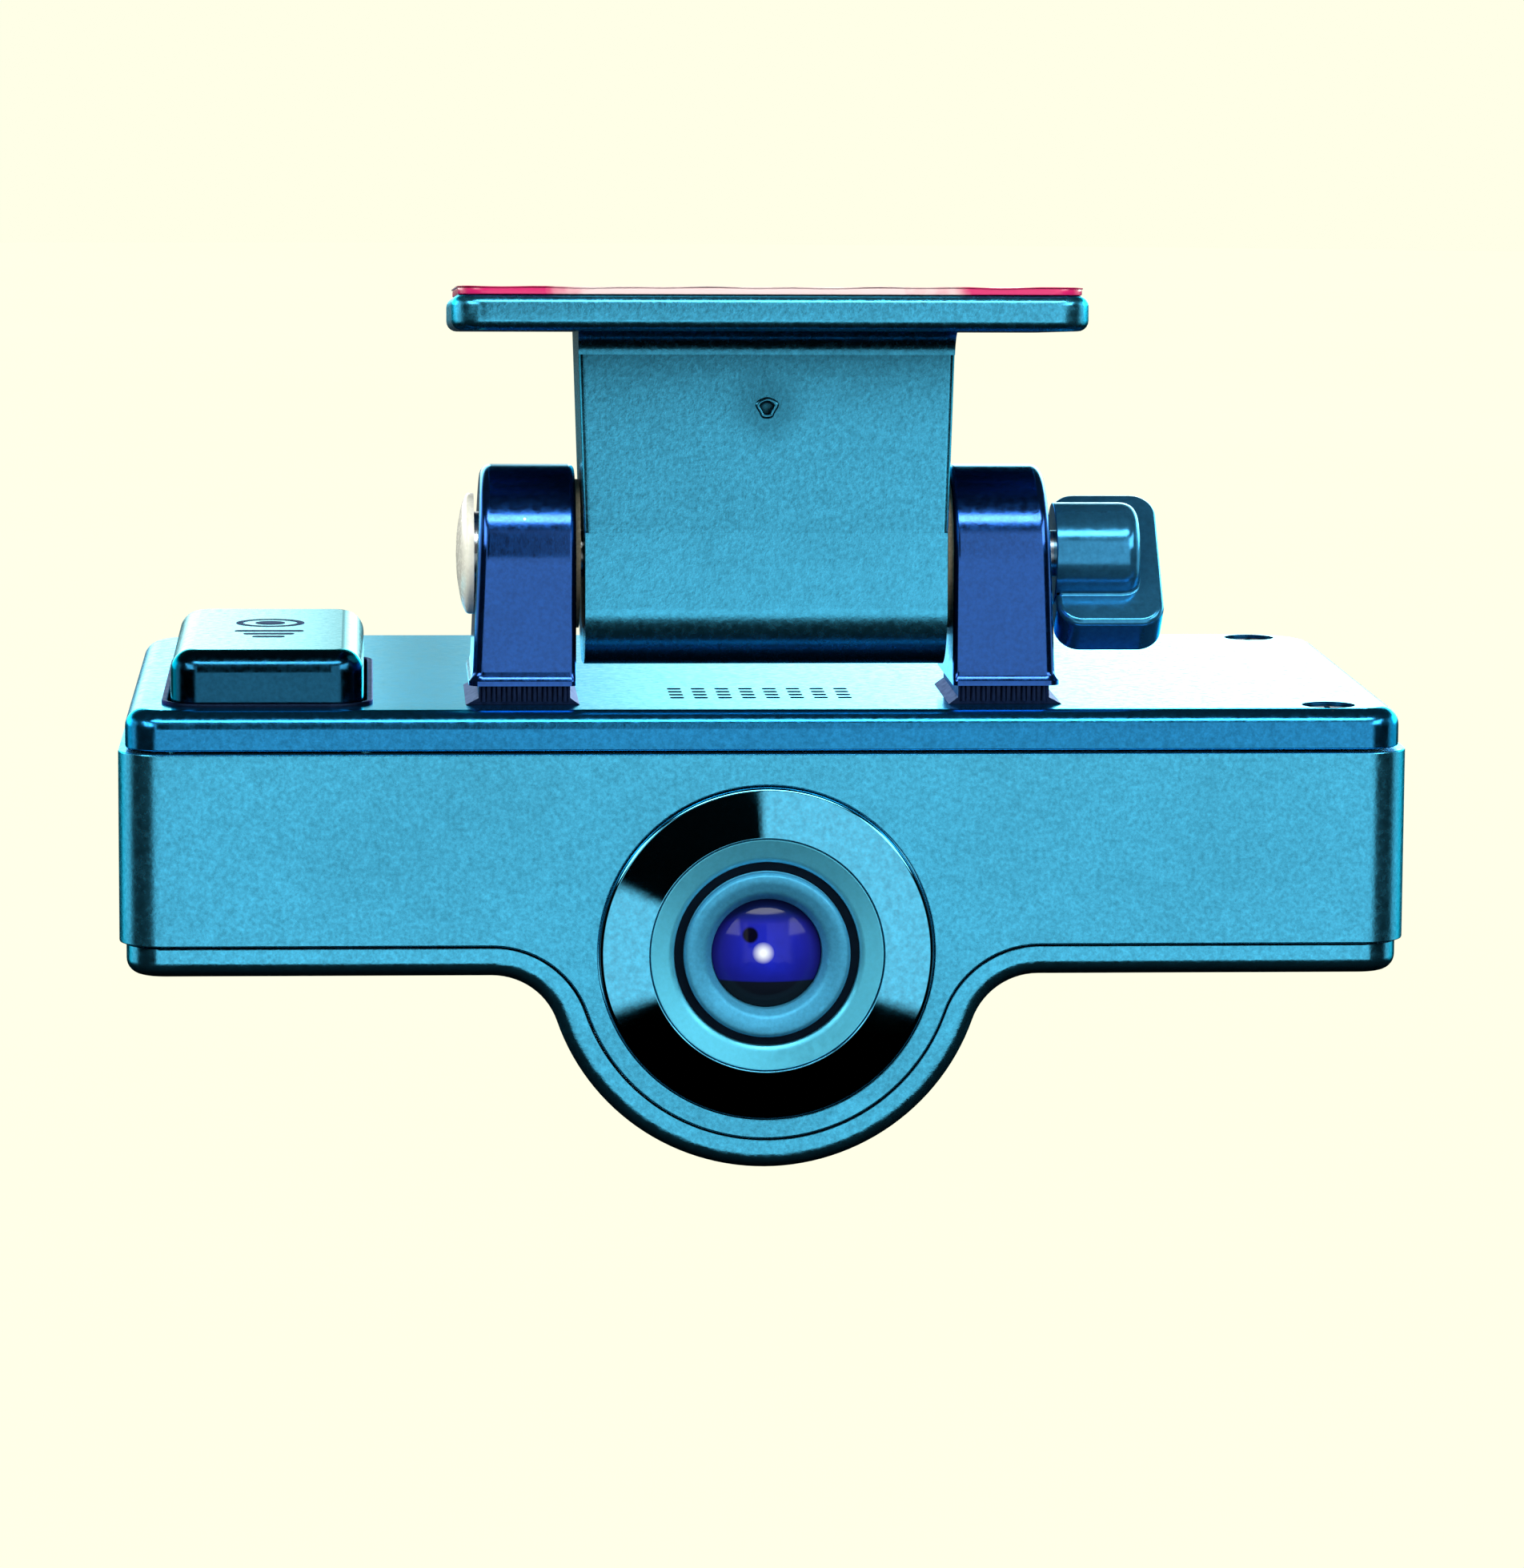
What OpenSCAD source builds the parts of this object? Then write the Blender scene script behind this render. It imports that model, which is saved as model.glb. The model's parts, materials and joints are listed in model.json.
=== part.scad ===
// Dash camera with a keel-shaped lens housing, hung from a tilting adhesive windscreen bracket.
// All sizes in millimetres. The origin is the middle of the adhesive face that meets the glass.
// +X is to the right seen from the lens side, +Y runs back from the lens, +Z is up.

/* [Body] */
// Width across the middle band
body_w = 110; // [108:1:118]
// Depth from the lens face to the rear face
body_d = 60; // [60:1:66]
// Height of the flat bar, top face to underside
bar_h = 22.8; // [22.8:0.2:24.8]
// How far both covers sit inside the middle band
cover_inset = 0.6; // [0.4:0.1:1]
// Plan radius of the two front corners
front_corner_r = 4; // [3.5:0.1:5]
// Plan radius of the two rear corners
rear_corner_r = 7; // [6:0.5:8]
// Height of the top cover's edge
top_cover_h = 3.4; // [3.2:0.1:3.8]
// Radius of the top cover's rolled upper edge
top_roll = 1.6; // [1:0.1:2]
// Size of the cut-back along the lower cover's side edges
low_roll = 1.6; // [0.8:0.1:2]
// Thickness of the lower cover
low_cover_t = 2.55; // [2.3:0.05:2.8]
// Shell wall thickness
wall = 2; // [1.8:0.1:2.2]
// Open line between neighbouring shell mouldings
seam = 0.2; // [0.1:0.05:0.3]

/* [Keel and lens] */
// Radius of the keel around the lens
keel_r = 18.8; // [18.4:0.1:20]
// Depth of the lens axis below the top face
lens_drop = 20.7; // [20:0.1:21.4]
// Radius of the hollow blend between bar and keel
keel_blend_r = 5.9; // [5:0.1:7]
// Outer radius of the glossy trim ring
trim_r = 14.3; // [13.9:0.1:14.6]
// Radius where the trim ring meets the satin cone
cone_outer_r = 10; // [9.6:0.1:10.4]
// Inner radius of the satin cone
cone_r = 7.9; // [7.7:0.1:8.2]
// Radius of the lens barrel
barrel_r = 7.1; // [6.9:0.05:7.2]
// Radius of the front glass
glass_r = 4.65; // [4.4:0.05:4.9]
// How far the barrel stands in front of the face
barrel_proud = 1.4; // [1:0.1:2]

/* [Vents] */
// Number of slot columns across
vent_columns = 8; // [4:1:9]
// Number of slot rows front to back
vent_rows = 4; // [2:1:4]
// Distance between slot columns
vent_pitch_x = 2.07; // [1.9:0.01:2.3]
// Distance between slot rows
vent_pitch_y = 2.1; // [1.9:0.1:2.3]

/* [Tilt bracket] */
// Height of the hinge axis above the top face
hinge_rise = 12.25; // [11.8:0.05:13]
// Distance of the hinge axis behind the lens face
hinge_setback = 12.3; // [12:0.1:13]
// How far the bracket leans back as stored
rest_tilt = 4; // [0:1:8]
// Width of the adhesive plate
plate_w = 53.6; // [48:0.2:58]
// Depth of the adhesive plate
plate_d = 40; // [36:1:44]
// Thickness of the adhesive plate
plate_t = 3; // [2.6:0.1:3.4]
// Height of the plate's top above the hinge axis
plate_rise = 22.1; // [21.5:0.1:24]
// How far the plate's middle lies behind the hinge axis
plate_shift = 3.1; // [2:0.1:4]
// Radius of the hinge knuckle
knuckle_r = 9.3; // [9:0.1:9.3]
// Half width of the neck at the knuckle
neck_half_low = 15.4; // [15:0.05:15.5]
// Half width of the neck under the plate
neck_half_high = 16.1; // [15.6:0.05:16.3]

/* [Ears] */
// Distance from the middle to an ear's inner face
ear_inner = 16.1; // [16.1:0.05:16.4]
// Thickness of an ear at its foot
ear_t = 8.8; // [8.4:0.1:9]
// Radius of an ear's crown around the hinge axis
ear_r = 7.7; // [7.4:0.1:7.9]
// Height of the dark foot under each ear
foot_h = 1.7; // [1.4:0.1:2]

/* [Lock knob] */
// Radius of the knob's hub
hub_r = 4.4; // [4:0.1:4.8]
// Length of the knob's hub
hub_l = 7.4; // [7:0.1:8]
// Width of the knob's paddle along the hinge axis
paddle_w = 9.4; // [9:0.1:10]
// Thickness of the paddle
paddle_t = 4.2; // [3.8:0.1:4.4]
// Lean of the paddle away from upright as stored
paddle_lean = 44; // [30:1:50]

/* [Record key] */
// Width of the record key
key_w = 16.4; // [15.4:0.1:16.8]
// Length of the record key
key_l = 35; // [32:0.5:36]
// Height of the record key above the cover
key_h = 4.7; // [4:0.1:5]
// How far the record key can be pressed
key_travel = 0.8; // [0.5:0.1:1]

/* [Hidden] */
$fn = 64;

// Shared clearances
free_gap = 0.3;
run_gap = 0.05;
cut = 1;

// Stored place of the hinge axis, counted from the adhesive face
tape_t = 0.6;
liner_t = 0.15;
pad_rise = plate_rise + tape_t + liner_t;
axis_y = -(plate_shift * cos(rest_tilt) + pad_rise * sin(rest_tilt));
axis_z = -(pad_rise * cos(rest_tilt) - plate_shift * sin(rest_tilt));

// Heights in the body's own frame, where the top face is zero
bar_bottom = -bar_h;
band_top = -top_cover_h;
blend_z = bar_bottom - keel_blend_r;
blend_x = sqrt(pow(keel_r + keel_blend_r, 2) - pow(-lens_drop - blend_z, 2));

// Case screws at the four corners
screw_side_in = 6.6;
screw_rear_in = 4.6;
screw_x = body_w / 2 - screw_side_in;
screw_front_y = 4.3;
screw_rear_y = body_d - screw_rear_in;
screw_head_r = 2;
screw_recess_r = 2.3;
screw_recess_h = 1.4;
screw_head_h = 1.2;
case_head_h = 1.1;
screw_shaft_r = 1.15;
thread_r = 1.2;
clear_r = 1.4;
boss_r = 2.2;
screw_end_z = -17;
cross_w = 2.6;
cross_t = 0.5;
cross_floor = 0.6;

// Top cover
top_t = 1.8;
vent_slot_w = 1.2;
vent_slot_d = 1.1;
vent_front_y = 9.4;

// Record key, its well and its switch
key_x = -42.4;
key_front_y = 4.2;
key_corner_r = 2.8;
key_roll = 1.9;
key_wall = 1.5;
key_flange_t = 0.8;
key_flange_out = 0.8;
key_stem_r = 1.5;
bezel_w = 0.5;
bezel_h = 0.3;
switch_w = 6;
switch_h = 3.5;
switch_y = 28;
plunger_r = 1.6;
plunger_h = 0.9;

// Bracket
plate_corner_r = 3;
plate_roll = 1;
tape_margin = 0.55;
tape_w = plate_w - 2 * tape_margin;
tape_d = plate_d - 2 * tape_margin;
tape_corner_r = 2.6;
neck_front = -9.3;
chin_drop = 4.3;
neck_rear = 6;
neck_blend_r = 1;
neck_hollow_r = 2;
pocket_w = 7;
pocket_d = 5;
pocket_pitch = 9;
pocket_low = 10.4;
pocket_high = 17.6;
gate_z = 12.6;
gate_r = 0.55;
gate_depth = 0.4;

// Ears, hinge bolt and cap
ear_outer = ear_inner + ear_t;
ear_crown = hinge_rise + ear_r;
ear_draft = 0.7;
ear_corner = 1.1;
ear_flare = 0.35;
ear_flare_lip = 0.4;
ear_flare_h = 1.2;
ear_axis_outer = ear_outer - ear_draft * (hinge_rise - foot_h) / (ear_crown - foot_h);
washer_t = 0.4;
washer_r = 6.4;
bolt_r = 2;
bolt_head_r = 3.6;
bolt_head_h = 2.2;
bolt_end = 31;
cap_r = 5.2;
cap_h = 1.5;
cap_dome_r = 12;
cap_gap = 0.25;
ear_screw_x = ear_inner + ear_t / 2;
ear_screw_front = 8.2;
ear_screw_rear = 16.4;
ear_screw_z = 5.2;
foot_tip = 0.6;
foot_inset = 0.5;

// Lock knob
knob_gap = 0.35;
knob_start = ear_outer + knob_gap;
paddle_up = 6.7;
paddle_down = 7.6;
paddle_corner = 2.2;
hub_roll = 1.6;
paddle_gap = 0.1;
paddle_back_roll = 0.5;
paddle_front_roll = 0.9;

// Lens stack, depths counted back from the lens face
hole_gap = 0.05;
trim_proud = 1.2;
trim_lip = 0.36;
trim_back = 3;
trim_flange_r = 15.6;
cone_front = -0.6;
cone_step = 0.1;
cone_edge_w = 0.3;
cone_edge_h = 0.2;
barrel_back = 13.5;
barrel_edge = 0.5;
glass_seat = 2.6;
inner_bore_r = 3.6;
inner_glass_t = 2;
inner_glass_y = [5, 9.5];
dome_r = 7.4;
glass_rim_y = 0.5;
mouth_y = -0.3;
mouth_w = 1.4;
holder_r = 9.5;
holder_front = trim_back;
holder_back = 16.6;
holder_flange_w = 23;
holder_flange_h = 20;
sensor_w = 8;
sensor_h = 6.5;
sensor_t = 1;
sensor_board_w = 22;
sensor_board_h = 22;
board_t = 1.2;

// Boards and what stands on them
main_w = 92;
main_front = 21;
main_rear = 56;
main_top = -13.4;
posts = [[-22, 23], [22, 23], [-23, 53.5], [23, 53.5]];
post_r = 2.4;
post_hole_r = 0.9;
board_screw_r = 0.85;
board_screw_l = 4;
board_head_r = 1.7;
board_head_h = 1;
chip_w = 14;
chip_t = 1.2;
chip_y = 34;
memory_w = 9;
memory_d = 11;
memory_x = 23.6;
memory_y = 34;
sink_w = 40;
sink_d = 22;
sink_base = 2;
sink_h = 7.4;
fin_count = 8;
fin_t = 1.2;
patch_w = 18;
patch_t = 4;
patch_x = -34;
patch_y = 42;
cell_r = 4;
cell_l = 20;
cell_x = 6.5;
cell_z = -23;
cell_y = 26;
speaker_r = 8;
speaker_t = 3.4;
magnet_r = 4.5;
magnet_t = 2;
speaker_y = 41;
speaker_z = -34.4;
sound_ring_r = 4;
sound_hole_r = 0.8;
mic_x = -27;
mic_r = 3;
mic_t = 2.2;
mic_hole_r = 0.7;

// Sockets and controls on the rear face
rear_inner = body_d - wall;
socket_set_in = 0.6;
socket_back = body_d - socket_set_in;
power_x = 0;
power_w = 8.4;
power_h = 4;
power_l = 9;
power_shell = 0.4;
tongue_w = 5.6;
tongue_t = 0.9;
tongue_l = 6.5;
video_x = -14;
video_w = 7;
video_h = 5;
video_l = 12;
video_r = 1.8;
video_nose_r = 2.5;
video_hole_r = 2.95;
control_z = -9.6;
pipe_x = 12;
pipe_pitch = 4;
pipe_count = 3;
pipe_r = 0.9;
pipe_l = 5;
led_w = 1.6;
mode_x = 28;
mode_r = 2.6;
mode_flange_r = 3.4;
mode_proud = 0.9;
mode_travel = 0.6;
mode_flange_t = 1.2;
mode_switch_w = 5;
mode_switch_d = 3;
mode_switch_h = 6.2;

// Memory card in the right side
card_w = 24;
card_l = 32;
card_t = 2.1;
card_corner = 4;
card_front_y = 25;
card_gap = 0.3;
card_set_in = 0.4;
card_lift = 0.5;
card_end_x = body_w / 2 - card_set_in;
card_z = main_top + card_lift;
slot_shell = 1.3;
slot_roof = 0.4;
slot_floor = 0.2;
slot_reach = 29;

// Frames

// The body's own frame: top face at zero, lens face at zero, depth along +Y
module in_body() {
    translate([0, axis_y - hinge_setback, axis_z - hinge_rise])
        children();
}

// The bracket's own frame: hinge axis at zero, leaning back by the stored tilt
module in_bracket() {
    translate([0, axis_y, axis_z])
        rotate([-rest_tilt, 0, 0])
            children();
}

// The hinge axis in the body's frame
module at_hinge() {
    translate([0, hinge_setback, hinge_rise])
        children();
}

// Turned about the lens axis: section given as radius and depth
module lens_turned() {
    translate([0, 0, -lens_drop])
        rotate([-90, 0, 0])
            rotate_extrude()
                children();
}

// Turned about the hinge axis: section given as radius and distance along X
module hinge_turned() {
    at_hinge()
        rotate([0, 90, 0])
            rotate_extrude()
                children();
}

// A round bar along X between two distances
module hinge_bar(x0, x1, r) {
    at_hinge()
        translate([x0, 0, 0])
            rotate([0, 90, 0])
                cylinder(h = x1 - x0, r = r);
}

// A round bar along Y between two depths
module depth_bar(x, z, y0, y1, r) {
    translate([x, y0, z])
        rotate([-90, 0, 0])
            cylinder(h = y1 - y0, r = r);
}

// A block centred on x between two depths and two heights
module block(x, y0, y1, z0, z1, w) {
    translate([x - w / 2, y0, z0])
        cube([w, y1 - y0, z1 - z0]);
}

// Shared outlines

// Upright section of a slab edge, with its outer corners rounded below and above
module edge_section(w, h, low, high) {
    square([w - low, h / 2]);
    translate([0, h / 2])
        square([w - high, h / 2]);
    translate([0, low])
        square([w, h - low - high]);
    if (low > 0)
        translate([w - low, low])
            circle(low);
    if (high > 0)
        translate([w - high, h - high])
            circle(high);
}

// One straight edge of a slab, facing the given heading
module slab_edge(x, y, heading, length, w, h, low, high) {
    translate([x, y, 0])
        rotate([0, 0, heading])
            rotate([90, 0, 0])
                linear_extrude(length, center = true)
                    edge_section(w, h, low, high);
}

// One round corner of a slab, swept a quarter turn from the given heading
module slab_corner(x, y, heading, r, h, low, high) {
    translate([x, y, 0])
        rotate([0, 0, heading])
            rotate_extrude(angle = 90)
                edge_section(r, h, low, high);
}

// Slab with round plan corners and rolled edges, standing on z = 0
module rolled_slab(x0, x1, y0, y1, h, rf, rr, low, high) {
    side = min(rf, rr);
    span_y = y1 - y0 - rf - rr;
    mid_y = y0 + rf + span_y / 2;
    slab_corner(x1 - rr, y1 - rr, 0, rr, h, low, high);
    slab_corner(x0 + rr, y1 - rr, 90, rr, h, low, high);
    slab_corner(x0 + rf, y0 + rf, 180, rf, h, low, high);
    slab_corner(x1 - rf, y0 + rf, 270, rf, h, low, high);
    slab_edge(x1 - side, mid_y, 0, span_y, side, h, low, high);
    slab_edge(x0 + side, mid_y, 180, span_y, side, h, low, high);
    slab_edge((x0 + x1) / 2, y0 + rf, 270, x1 - x0 - 2 * rf, rf, h, low, high);
    slab_edge((x0 + x1) / 2, y1 - rr, 90, x1 - x0 - 2 * rr, rr, h, low, high);
    translate([x0 + side, y0 + rf, 0])
        cube([x1 - x0 - 2 * side, span_y, h]);
}

// Slab with four equal round plan corners and square edges, standing on z = 0
module flat_slab(x0, x1, y0, y1, h, r) {
    linear_extrude(h) {
        translate([x0 + r, y0])
            square([x1 - x0 - 2 * r, y1 - y0]);
        translate([x0, y0 + r])
            square([x1 - x0, y1 - y0 - 2 * r]);
        for (x = [x0 + r, x1 - r])
            for (y = [y0 + r, y1 - r])
                translate([x, y])
                    circle(r);
    }
}

// Plan outline of the body, drawn in from the middle band by an inset
module plan_outline(inset) {
    half = body_w / 2 - inset;
    rf = front_corner_r - inset;
    rr = rear_corner_r - inset;
    translate([-half, inset + rf])
        square([2 * half, body_d - 2 * inset - rf - rr]);
    translate([-half + rf, inset])
        square([2 * (half - rf), rf]);
    translate([-half + rr, body_d - inset - rr])
        square([2 * (half - rr), rr]);
    for (side = [-1, 1]) {
        translate([side * (half - rf), inset + rf])
            circle(rf);
        translate([side * (half - rr), body_d - inset - rr])
            circle(rr);
    }
}

// Front outline of bar and keel, drawn in from the lower cover by an inset
module keel_outline(inset) {
    translate([-body_w / 2 - cut, bar_bottom + inset])
        square([body_w + 2 * cut, bar_h - inset]);
    translate([0, -lens_drop])
        circle(keel_r - inset);
    for (side = [-1, 1])
        mirror([side < 0 ? 1 : 0, 0])
            difference() {
                polygon([
                    [0, -lens_drop],
                    [blend_x, blend_z],
                    [blend_x, bar_bottom + wall + low_cover_t],
                    [0, bar_bottom + wall + low_cover_t]
                ]);
                translate([blend_x, blend_z])
                    circle(keel_blend_r + inset);
            }
}

// The keel outline carried through the body from one depth to another
module keel_prism(inset, y0, y1) {
    translate([0, y1, 0])
        rotate([90, 0, 0])
            linear_extrude(y1 - y0)
                keel_outline(inset);
}

// What bounds the lower cover in plan, with its side edges cut back below
module lower_envelope() {
    half = body_w / 2 - cover_inset;
    intersection() {
        translate([0, 0, -lens_drop - keel_r - cut])
            linear_extrude(keel_r + low_cover_t + cut)
                plan_outline(cover_inset);
        translate([0, body_d, 0])
            rotate([90, 0, 0])
                linear_extrude(body_d)
                    polygon([
                        [-half - cut, bar_bottom + low_roll + cut],
                        [-half + low_roll, bar_bottom],
                        [-half + low_roll, -bar_h - keel_r],
                        [half - low_roll, -bar_h - keel_r],
                        [half - low_roll, bar_bottom],
                        [half + cut, bar_bottom + low_roll + cut],
                        [half + cut, 0],
                        [-half - cut, 0]
                    ]);
    }
}

// Bracket and its adhesive

// Protective film over the adhesive
module tape_liner() {
    color([0.80, 0.10, 0.25])
        in_bracket()
            translate([0, plate_shift, plate_rise + tape_t])
                flat_slab(-tape_w / 2, tape_w / 2, -tape_d / 2, tape_d / 2, liner_t, tape_corner_r);
}

// Foam adhesive tape on the plate
module adhesive_tape() {
    color([0.75, 0.20, 0.35])
        in_bracket()
            translate([0, plate_shift, plate_rise])
                flat_slab(-tape_w / 2, tape_w / 2, -tape_d / 2, tape_d / 2, tape_t, tape_corner_r);
}

// Tapering neck between the knuckle and the plate, seen from the front
module neck_outline() {
    high = plate_rise - plate_t;
    polygon([
        [-neck_half_low, 0],
        [neck_half_low, 0],
        [neck_half_high, high - neck_blend_r],
        [neck_half_high + neck_blend_r, high],
        [neck_half_high + neck_blend_r, high + cut],
        [-neck_half_high - neck_blend_r, high + cut],
        [-neck_half_high - neck_blend_r, high],
        [-neck_half_high, high - neck_blend_r]
    ]);
}

// Hollow blend between the neck's front face and the plate's underside
module neck_hollow() {
    high = plate_rise - plate_t;
    difference() {
        translate([-neck_half_high, neck_front - neck_hollow_r, high - neck_hollow_r])
            cube([2 * neck_half_high, neck_hollow_r + cut, neck_hollow_r + cut]);
        translate([-neck_half_high - cut, neck_front - neck_hollow_r, high - neck_hollow_r])
            rotate([0, 90, 0])
                cylinder(h = 2 * neck_half_high + 2 * cut, r = neck_hollow_r);
    }
}

// Side outline of the knuckle: a round eye whose front stays level with the neck, down to a rounded chin
module knuckle_section() {
    chin_r = knuckle_r - chin_drop;
    circle(knuckle_r);
    translate([neck_front + chin_r, -chin_drop])
        circle(chin_r);
    translate([neck_front, -chin_drop])
        square([-neck_front, chin_drop]);
    translate([neck_front + chin_r, -knuckle_r])
        square([-neck_front - chin_r, knuckle_r]);
}

// Plate, neck and hinge knuckle in one moulding
module bracket() {
    color([0.16, 0.17, 0.19])
        in_bracket()
            difference() {
                union() {
                    translate([0, plate_shift, plate_rise - plate_t])
                        rolled_slab(-plate_w / 2, plate_w / 2, -plate_d / 2, plate_d / 2, plate_t,
                            plate_corner_r, plate_corner_r, plate_roll, plate_roll);
                    translate([0, neck_rear, 0])
                        rotate([90, 0, 0])
                            linear_extrude(neck_rear - neck_front)
                                neck_outline();
                    neck_hollow();
                    rotate([90, 0, 90])
                        linear_extrude(2 * neck_half_low, center = true)
                            knuckle_section();
                }
                rotate([0, 90, 0])
                    cylinder(h = 2 * neck_half_low + 2 * cut, r = bolt_r + run_gap, center = true);
                for (i = [-1:1])
                    translate([i * pocket_pitch - pocket_w / 2, neck_rear - pocket_d, pocket_low])
                        cube([pocket_w, pocket_d + cut, pocket_high - pocket_low]);
                translate([0, neck_front - cut, gate_z])
                    rotate([-90, 0, 0])
                        cylinder(h = gate_depth + cut, r = gate_r);
            }
}

// Hinge hardware

// Thin washers between the knuckle and the ears
module friction_washers() {
    color([0.75, 0.72, 0.60])
        in_body()
            for (side = [0, 1])
                mirror([side, 0, 0])
                    difference() {
                        hinge_bar(ear_inner - washer_t, ear_inner, washer_r);
                        hinge_bar(0, ear_outer, bolt_r + run_gap);
                    }
}

// Bolt through both ears and the knuckle
module hinge_bolt() {
    color([0.62, 0.63, 0.65])
        in_body()
            union() {
                hinge_bar(-ear_axis_outer + cut, bolt_end, bolt_r);
                hinge_bar(-ear_axis_outer - cap_gap, -ear_axis_outer + bolt_head_h, bolt_head_r);
            }
}

// Domed cap over the bolt head on the left ear
module hinge_cap() {
    color([0.20, 0.21, 0.24])
        in_body()
            mirror([1, 0, 0])
                hinge_turned()
                    translate([0, ear_axis_outer + cap_gap])
                        intersection() {
                            square([cap_r, cap_h]);
                            translate([0, cap_h - cap_dome_r])
                                circle(cap_dome_r);
                        }
}

// Knob with a round hub and a flat paddle behind it
module lock_knob() {
    color([0.18, 0.20, 0.24])
        in_body()
            difference() {
                union() {
                    hinge_turned()
                        translate([0, knob_start])
                            edge_section(hub_r, hub_l, 0, hub_roll);
                    at_hinge()
                        rotate([90 - paddle_lean, 0, 0])
                            mirror([0, 0, 1])
                                rolled_slab(knob_start + paddle_gap, knob_start + paddle_w, -paddle_down,
                                    paddle_up, paddle_t, paddle_corner, paddle_corner, paddle_back_roll,
                                    paddle_front_roll);
                }
                hinge_bar(0, bolt_end + free_gap, bolt_r + run_gap);
            }
}

// Side outline of an ear: straight sides and a round crown
module ear_side() {
    translate([hinge_setback - ear_r, foot_h])
        square([2 * ear_r, hinge_rise - foot_h]);
    translate([hinge_setback, hinge_rise])
        circle(ear_r);
}

// Front outline of an ear: outer face drawn in towards the crown, corner cut back
module ear_front() {
    polygon([
        [ear_inner, foot_h],
        [ear_outer + ear_flare, foot_h],
        [ear_outer + ear_flare, foot_h + ear_flare_lip],
        [ear_outer, foot_h + ear_flare_h],
        [ear_outer - ear_draft, ear_crown - ear_corner],
        [ear_outer - ear_draft - ear_corner / 3, ear_crown - ear_corner / 3],
        [ear_outer - ear_draft - ear_corner, ear_crown],
        [ear_inner, ear_crown]
    ]);
}

// Right-hand ear before its bolt hole is sunk
module ear_blank() {
    difference() {
        intersection() {
            rotate([90, 0, 90])
                linear_extrude(ear_outer + ear_flare + cut)
                    ear_side();
            translate([0, body_d, 0])
                rotate([90, 0, 0])
                    linear_extrude(body_d)
                        ear_front();
        }
        hinge_bar(0, ear_outer + cut, bolt_r + run_gap);
        for (y = [ear_screw_front, ear_screw_rear])
            translate([ear_screw_x, y, foot_h - cut])
                cylinder(h = ear_screw_z + cut, r = thread_r);
    }
}

module right_ear() {
    color([0.12, 0.16, 0.24])
        in_body()
            ear_blank();
}

module left_ear() {
    color([0.12, 0.16, 0.24])
        in_body()
            difference() {
                mirror([1, 0, 0])
                    ear_blank();
                hinge_bar(-ear_outer - cut, -ear_axis_outer + bolt_head_h + run_gap, bolt_head_r + run_gap);
            }
}

// Dark feet under the ears, with pointed tips along their lower sides
module ear_feet() {
    color([0.05, 0.06, 0.09])
        in_body()
            for (side = [0, 1])
                mirror([side, 0, 0])
                    difference() {
                        translate([0, hinge_setback + ear_r - foot_inset, 0])
                            rotate([90, 0, 0])
                                linear_extrude(2 * (ear_r - foot_inset))
                                    polygon([
                                        [ear_inner - foot_tip / 2, 0],
                                        [ear_outer + foot_tip, 0],
                                        [ear_outer - foot_inset, foot_tip],
                                        [ear_outer - foot_inset, foot_h],
                                        [ear_inner + foot_inset, foot_h],
                                        [ear_inner + foot_inset, foot_tip]
                                    ]);
                        for (y = [ear_screw_front, ear_screw_rear])
                            translate([ear_screw_x, y, -cut])
                                cylinder(h = foot_h + 2 * cut, r = clear_r);
                    }
}

// Four screws that hold the ears from inside the top cover
module ear_screws() {
    color([0.70, 0.70, 0.72])
        in_body()
            for (side = [-1, 1])
                for (y = [ear_screw_front, ear_screw_rear])
                    translate([side * ear_screw_x, y, 0]) {
                        translate([0, 0, -top_t - screw_head_h])
                            cylinder(h = screw_head_h, r = screw_head_r);
                        translate([0, 0, -top_t - cut / 2])
                            cylinder(h = top_t + cut / 2 + ear_screw_z, r = screw_shaft_r);
                    }
}

// Case mouldings

// Positions of the case screws that reach the surface
function case_screws() = [
    [screw_x, screw_front_y],
    [screw_x, screw_rear_y],
    [-screw_x, screw_rear_y]
];

// Upright block on the record key's plan, larger than the key by a margin
module key_block(margin, z0, z1) {
    translate([0, 0, z0])
        flat_slab(key_x - key_w / 2 - margin, key_x + key_w / 2 + margin,
            key_front_y - margin, key_front_y + key_l + margin, z1 - z0, key_corner_r + margin);
}

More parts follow.
